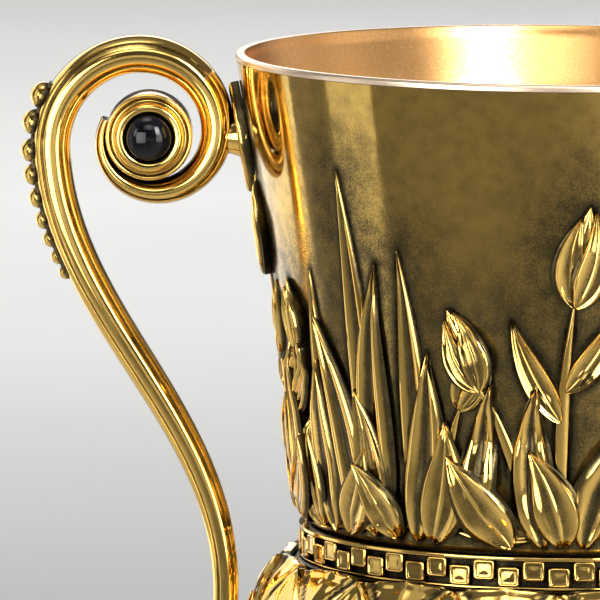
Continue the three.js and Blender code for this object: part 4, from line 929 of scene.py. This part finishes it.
# Liner with its spun lip
def make_liner():
    straight = LINER_BOTTOM + LINER_CORNER
    heights = np.concatenate([[BOWL_HEIGHT - 0.01], np.linspace(BOWL_HEIGHT - 1, straight, 30)])
    outer = [(shell_bore(h) - FIT, h) for h in heights]
    foot_r = outer[-1][0]
    corner = bezier([(foot_r, straight), (foot_r - 0.5, LINER_BOTTOM + LINER_CORNER * 0.4),
                     (foot_r - LINER_CORNER * 0.5, LINER_BOTTOM), (foot_r - LINER_CORNER, LINER_BOTTOM)], 16)
    outer = outer + list(map(tuple, corner[1:]))
    inner = [(r - LINER_WALL, max(h, LINER_BOTTOM + LINER_WALL)) for r, h in outer]
    inner[-1] = (outer[-1][0], LINER_BOTTOM + LINER_WALL)
    top = BOWL_HEIGHT + LIP_THICKNESS
    mouth = inner[0][0]
    cup = domed([
        (0.05, LINER_BOTTOM),
        *outer[::-1],
        (mouth + 0.45, top - 0.2),
        (mouth + 0.25, top - 0.06),
        (mouth + 0.12, top - 0.06),
        (mouth + 0.03, top - 0.2),
        *inner,
        (0.05, LINER_BOTTOM + LINER_WALL),
    ], 320)
    lip = rounded([
        (mouth + 0.15, BOWL_HEIGHT + 0.02),
        (RIM_RADIUS, BOWL_HEIGHT + 0.02, 0.1),
        (RIM_RADIUS, top, 0.6),
        (mouth + 0.15, top, 0.3),
    ], 8)
    cup[0][:, 2] += BOWL_Z
    piece("satin_liner", [cup], satin, ["bowl_liner"])
    piece("liner_lip", [turned(lip, 320, BOWL_Z)], lip_metal, ["bowl_liner"])


# The handle's centreline and sections, on the +X side
VOLUTE_X = bowl_radius(VOLUTE_Z - BOWL_Z) + VOLUTE_STANDOFF
CURL_X = CALYX_RADIUS + CURL_STANDOFF
VOLUTE_TIGHTENING = math.log(VOLUTE_RADIUS / VOLUTE_INNER) / (2 * math.pi)


def on_volute(degrees):
    degrees = np.asarray(degrees, float)
    direction = np.radians(90 + degrees)
    r = VOLUTE_RADIUS * np.exp(-VOLUTE_TIGHTENING * np.radians(degrees))
    return np.stack([VOLUTE_X + r * np.cos(direction), VOLUTE_Z + r * np.sin(direction)], axis=-1)


def on_curl(degrees):
    degrees = np.asarray(degrees, float)
    direction = np.radians(180 + degrees)
    r = CURL_RADIUS * np.exp(-CURL_TIGHTENING * np.radians(degrees))
    return np.stack([CURL_X + CURL_RADIUS + r * np.cos(direction), CURL_Z + r * np.sin(direction)], axis=-1)


def unit(vector):
    return vector / np.linalg.norm(vector, axis=-1, keepdims=True)


def blend(a, b, t):
    return np.array(a) + (np.array(b) - np.array(a)) * np.asarray(t)[:, None]


def sweep_curve(count):
    """Evenly spaced places on the stretch between volute and curl."""
    start, end = on_volute(-VOLUTE_LEAVES_AT), on_curl(0)
    pull = start + UPPER_SWEEP * unit(start - on_volute(-VOLUTE_LEAVES_AT + 0.1))
    push = end - LOWER_SWEEP * unit(on_curl(0.1) - end)
    return evenly(bezier([start, pull, push, end], 800), count)


def handle_path():
    degrees = np.arange(VOLUTE_END_AT, -VOLUTE_LEAVES_AT, -3)
    volute = on_volute(degrees)
    volute_size = blend(HANDLE_TOP, HANDLE_TIP, np.clip(degrees / VOLUTE_END_AT, 0, None) ** 1.3)
    sweep = sweep_curve(110)[:-1]
    t = np.linspace(0, 1, len(sweep))
    upper = blend(HANDLE_TOP, HANDLE_MIDDLE, np.clip(2 * t, 0, 1))
    sweep_size = upper + (np.array(HANDLE_BOTTOM) - upper) * np.clip(2 * t - 1, 0, 1)[:, None]
    turn = np.arange(0, CURL_END_AT + 1, 5)
    curl = on_curl(turn)
    taper = 1 - 0.35 * turn / CURL_END_AT
    curl_size = np.stack([HANDLE_BOTTOM[0] * taper, HANDLE_BOTTOM[1] + 0 * taper], axis=-1)
    return np.vstack([volute, sweep, curl]), np.vstack([volute_size, sweep_size, curl_size])


def bar_section(count=72):
    """Shares of half the thickness and half the width, with a band between reeds on each face, and patina
    with painted shade in the grooves.
    """
    angle = 2 * np.pi * (np.arange(count) + 0.5) / count
    out = np.sign(np.cos(angle)) * np.abs(np.cos(angle)) ** 0.86
    side = np.sign(np.sin(angle)) * np.abs(np.sin(angle)) ** 0.8
    face = np.clip((np.abs(side) - 0.6) / 0.3, 0, 1)
    groove = hump(np.abs(out) - GROOVE_AT, 0.085) * face
    band = np.clip(1 - (out / 0.5) ** 2, 0, None) * face
    patina_and_shade = np.clip(1.1 * hump(np.abs(out) - GROOVE_AT, 0.06) * face, 0, 1) * 0.75
    return out, side * (1 - 0.13 * groove + 0.02 * band), patina_and_shade


def swept(path, size, section):
    out, side, patina_and_shade = section
    way = unit(np.gradient(path, axis=0))
    normal = np.stack([-way[:, 1], way[:, 0]], axis=-1)
    off = out * size[:, :1] / 2
    x = path[:, :1] + normal[:, :1] * off
    z = path[:, 1:] + normal[:, 1:] * off
    y = side * size[:, 1:] / 2
    rings = np.stack([x, y, z], axis=-1)
    return capped(rings, np.broadcast_to(patina_and_shade, rings.shape[:2]))


# An oval pad's profile from its edge to its middle: share of its size, rise and patina with painted shade,
# dark where it meets the wall
PAD = [(1, 0.1, 1), (1, 1.1, 0.6), (0.97, 1.45, 0.05), (0.92, 1.62, 0), (0.86, 1.68, 0), (0.8, 1.6, 0.2),
       (0.74, 1.5, 0.65), (0.5, 1.75, 0.05), (0.1, 1.9, 0)]


def oval_pad(wall, size, height, z):
    """A pointed oval pad that hugs a turned wall at a height, facing +X."""
    tall, wide = size[0] / 2, size[1] / 2
    run, path, _ = wall
    middle = float(np.interp(height, path[:, 1], run))
    t = np.linspace(0, 1, 25)
    right = np.stack([4 * wide * t * (1 - t), tall * (2 * t - 1)], axis=-1)
    outline = np.vstack([right, (right * (-1, 1))[-2:0:-1]])
    rings = [on_wall(wall, 0, outline[:, 0] * scale, middle + outline[:, 1] * scale, off, z)
             for scale, off, _ in PAD]
    marks = np.repeat([mark for _, _, mark in PAD], len(outline))
    return capped(np.stack(rings), marks)


def bead_places():
    """Centres and radii of the beads on the handle's back, and the strip under them."""
    degrees = np.arange(BEADING_STARTS_AT, VOLUTE_LEAVES_AT, 1)
    upper = on_volute(-degrees)
    upper_out = unit(upper - (VOLUTE_X, VOLUTE_Z))
    sweep = sweep_curve(641)
    way = unit(np.gradient(sweep, axis=0))
    path = np.vstack([upper, sweep])
    out = np.vstack([upper_out, np.stack([-way[:, 1], way[:, 0]], axis=-1)])
    t = np.linspace(0, 1, len(sweep))
    thinning = blend(HANDLE_TOP, HANDLE_MIDDLE, np.clip(2 * t, 0, 1))[:, 0]
    thick = np.append(np.full(len(upper), HANDLE_TOP[0]), thinning)
    back = path + out * thick[:, None] / 2
    run = run_along(back)
    here, beads = FIRST_BEAD, []
    for i in range(BEADS):
        radius = FIRST_BEAD + (LAST_BEAD - FIRST_BEAD) * i / (BEADS - 1)
        if i:
            here += (beads[-1][2] + radius) * BEAD_SPACING
        k = int(np.searchsorted(run, here))
        beads.append((back[k], out[k], radius))
    end = int(np.searchsorted(run, here + LAST_BEAD))
    return beads, back[: end + 1], out[: end + 1]


def bead(centre, out, radius):
    """A bead a little drawn out away from the handle's back."""
    angle = np.linspace(0.02, np.pi - 0.02, 20)
    outline = np.stack([np.sin(angle) * radius, -np.cos(angle) * radius], axis=-1)
    points, faces, _ = domed(outline, 28)
    tilt = np.array([[-out[1], 0, out[0]], [0, 1, 0], [out[0], 0, out[1]]])
    placed = points @ tilt
    depth = placed @ np.array([out[0], 0, out[1]])
    # Painted shade on the bead's side towards the handle
    patina_and_shade = np.clip(0.9 - depth / radius * 1.6, 0, 1)
    return placed + (centre[0], 0, centre[1]), faces, patina_and_shade


def make_handle(side, degrees):
    path, size = handle_path()
    bar = swept(path, size, bar_section())
    boss = domed(rounded([
        (0.05, -BOSS_HALF_WIDTH),
        (BOSS_RADIUS - 0.9, -BOSS_HALF_WIDTH, 0.15),
        (BOSS_RADIUS - 0.75, -BOSS_HALF_WIDTH + 0.4, 0.15),
        (BOSS_RADIUS - 0.45, -BOSS_HALF_WIDTH, 0.2),
        (BOSS_RADIUS, -BOSS_HALF_WIDTH + 0.1, 0.4),
        (BOSS_RADIUS, BOSS_HALF_WIDTH - 0.1, 0.4),
        (BOSS_RADIUS - 0.45, BOSS_HALF_WIDTH, 0.2),
        (BOSS_RADIUS - 0.75, BOSS_HALF_WIDTH - 0.4, 0.15),
        (BOSS_RADIUS - 0.9, BOSS_HALF_WIDTH, 0.15),
        (0.05, BOSS_HALF_WIDTH),
    ]), 96)
    ball = np.linspace(0.03, np.pi - 0.03, 24)
    pearl = domed(np.stack([np.sin(ball), -np.cos(ball)], axis=-1) * PEARL_RADIUS, 40)
    bowl_side = bowl_radius(VOLUTE_Z - BOWL_Z)
    upper_end, lower_end = float(on_volute(90)[0]), CURL_X
    lugs = []
    for start, end, z in ((bowl_side + 0.4, upper_end, VOLUTE_Z), (CALYX_RADIUS + 0.4, lower_end, CURL_Z)):
        stem = [(0.05, 0), (LUG_RADIUS + 0.7, 0), (LUG_RADIUS + 0.2, 1.5), (LUG_RADIUS, 2.1),
                (LUG_RADIUS, end - start), (0.05, end - start)]
        lugs.append(along_x(domed(stem, 40), start, z))
    parts = [
        bar,
        along_y(boss, VOLUTE_X, 0, VOLUTE_Z, 1),
        along_y(pearl, CURL_X + CURL_RADIUS, 0, CURL_Z, 1),
        *lugs,
        oval_pad(bowl_wall, UPPER_PAD, VOLUTE_Z - BOWL_Z, BOWL_Z),
        oval_pad(calyx_wall, LOWER_PAD, CURL_Z - CALYX_Z, CALYX_Z),
    ]
    parts = [spun(part, degrees) for part in parts]
    piece(f"{side}_handle_casting", parts, gold, [f"{side}_handle"])

    beads, back, out = bead_places()
    strip_size = np.tile([1.0, 2.6], (len(back), 1))
    # The strip under the beads is dark with painted shade
    strip = swept(back[::6] - out[::6] * 0.15, strip_size[::6], (*ROUNDED_SQUARE.T, 0.9))
    beading = [strip] + [bead(*place) for place in beads]
    piece(f"{side}_beading_strip", [spun(part, degrees) for part in beading], gold,
          [f"{side}_handle_beading"])

    collet = rounded([
        (STONE_RADIUS + 0.05, 0),
        (STONE_RADIUS + FIT + COLLET_WALL, 0, 0.2),
        (STONE_RADIUS + FIT + COLLET_WALL, COLLET_HEIGHT * 0.35, 0.4),
        (STONE_RADIUS + FIT + COLLET_WALL * 0.7, COLLET_HEIGHT, 0.5),
        (STONE_RADIUS + FIT + 0.15, COLLET_HEIGHT * 0.9, 0.25),
        (STONE_RADIUS + 0.05, COLLET_HEIGHT * 0.45, 0.2),
    ], 8)
    arc = np.linspace(0, math.pi / 2, 24)
    stone_top = [(STONE_RADIUS * math.cos(a) + 0.02, 0.7 + (STONE_HEIGHT - 0.7) * math.sin(a)) for a in arc]
    stone_outline = [(0.02, 0), (STONE_RADIUS, 0), *stone_top]
    for face, way in (("front", -1), ("back", 1)):
        turned_way = way * (-1 if degrees else 1)
        place = (VOLUTE_X, turned_way * BOSS_HALF_WIDTH, VOLUTE_Z, turned_way)
        ring = spun(along_y(turned(collet, 96), *place), degrees)
        gem = spun(along_y(domed(stone_outline, 96), *place), degrees)
        piece(f"{side}_{face}_collet_ring", [ring], gold, [f"{side}_{face}_collet"])
        piece(f"{side}_{face}_cabochon", [gem], stone, [f"{side}_{face}_stone"])


make_foot()
make_stem()
make_knop()
make_calyx()
make_collar()
make_bowl()
make_liner()
make_handle("right", 0)
make_handle("left", 180)

# Fasteners, plate and felt keep their CAD shapes
for name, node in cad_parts.items():
    if node.hide_render:
        continue
    finish = felt if name == "felt_pad" else steel
    for material_slot in node.material_slots:
        material_slot.material = finish

# Camera
TARGET = Vector((-36.5, 0, 154.5)) * MM
DISTANCE = 1.6
FOCAL_LENGTH = 673.6
ELEVATION = math.radians(6.7)
ROLL = math.radians(0.47)
camera_data = bpy.data.cameras.new("camera")
camera_data.sensor_width = 36
camera_data.lens = FOCAL_LENGTH
camera_data.clip_end = 100
camera = bpy.data.objects.new("camera", camera_data)
bpy.context.scene.collection.objects.link(camera)
camera.location = TARGET + DISTANCE * Vector((0, -math.cos(ELEVATION), math.sin(ELEVATION)))
camera.rotation_euler = (math.pi / 2 - ELEVATION, 0, 0)
camera.rotation_euler.rotate_axis("Z", ROLL)
bpy.context.scene.camera = camera

# Floor
bpy.ops.mesh.primitive_circle_add(vertices=96, radius=25, fill_type="NGON")
floor = bpy.context.object
floor.name = "floor"
floor.data.materials.append(pale_floor)


# Light
def softbox(name, location, aim, width, height, power, spread=180):
    light = bpy.data.lights.new(name, "AREA")
    light.shape = "RECTANGLE"
    light.size = width
    light.size_y = height
    light.energy = power
    light.spread = math.radians(spread)
    lamp = bpy.data.objects.new(name, light)
    bpy.context.scene.collection.objects.link(lamp)
    lamp.location = location
    lamp.rotation_euler = (Vector(aim) - Vector(location)).to_track_quat("-Z", "Y").to_euler()
    lamp.visible_camera = False


softbox("left_strip", (-0.28, -0.055, 0.2), (0, -0.055, 0.2), 0.1, 0.34, 0.08)
softbox("front_left_card", (-0.2, -0.3, 0.17), (0, 0, 0.15), 0.2, 0.2, 0.18, 90)
softbox("front_right_card", (0.22, -0.32, 0.17), (0, 0, 0.15), 0.26, 0.2, 0.19, 90)
softbox("back_left_card", (-0.24, 0.2, 0.2), (0, 0, 0.2), 0.22, 0.34, 0.28)
softbox("back_right_card", (0.26, 0.2, 0.2), (0, 0, 0.2), 0.16, 0.34, 0.1)
softbox("front_left_softbox", (-1.0, -0.75, 0.5), (0, 0, 0.17), 0.3, 0.6, 0.12, 40)
softbox("right_softbox", (1.1, -0.1, 0.5), (0, 0, 0.18), 0.9, 0.4, 0.13, 60)
softbox("overhead_softbox", (-0.35, 0.1, 1.5), (0, 0, 0.1), 1.2, 1.2, 1.4)
softbox("top_softbox", (-0.2, -0.2, 1.25), (-0.05, 0, 0.18), 0.9, 0.6, 0.3, 40)
softbox("front_top_softbox", (0, -1.1, 0.95), (0, 0, 0.15), 1.6, 0.5, 0.4, 40)
softbox("back_card", (0, 1.0, 0.5), (0, 0, 0.2), 1.4, 0.4, 0.45, 60)
softbox("front_right_softbox", (0.58, -1.08, 0.72), (0, 0, 0.19), 0.4, 0.7, 1.0, 40)
softbox("left_floor_light", (-0.33, -0.01, 0.4), (-0.33, -0.01, 0), 0.1, 0.1, 0.03, 25)
softbox("right_floor_light", (0.3, -0.32, 0.6), (0.3, -0.32, 0), 0.2, 0.3, 0.35, 40)
softbox("front_floor_light", (-0.05, -1.4, 0.9), (-0.05, -1.4, 0), 1.4, 0.6, 3.5, 60)
softbox("background_light", (-0.1, 1.6, 1.3), (-0.1, 1.6, 0), 3.0, 1.5, 19, 80)
for name, x, y in (("left", -3.2, 0), ("right", 3.2, 0), ("front", 0, -3.8)):
    softbox(f"far_{name}_light", (x, y, 2.2), (x, y, 0), 3, 3, 28, 80)

world = bpy.data.worlds.new("world")
bpy.context.scene.world = world
world.use_nodes = True
sky = Tree(world.node_tree)
direction = sky.nodes.new("ShaderNodeTexCoord")
split = sky.nodes.new("ShaderNodeSeparateXYZ")
sky.links.new(direction.outputs["Generated"], split.inputs["Vector"])
height = sky.remap(split.outputs["Z"], -0.1, 1, 0, 1)
sky.links.new(sky.ramp(height, SKY_TONES), sky.nodes["Background"].inputs["Color"])

bpy.context.scene.view_settings.view_transform = "Standard"
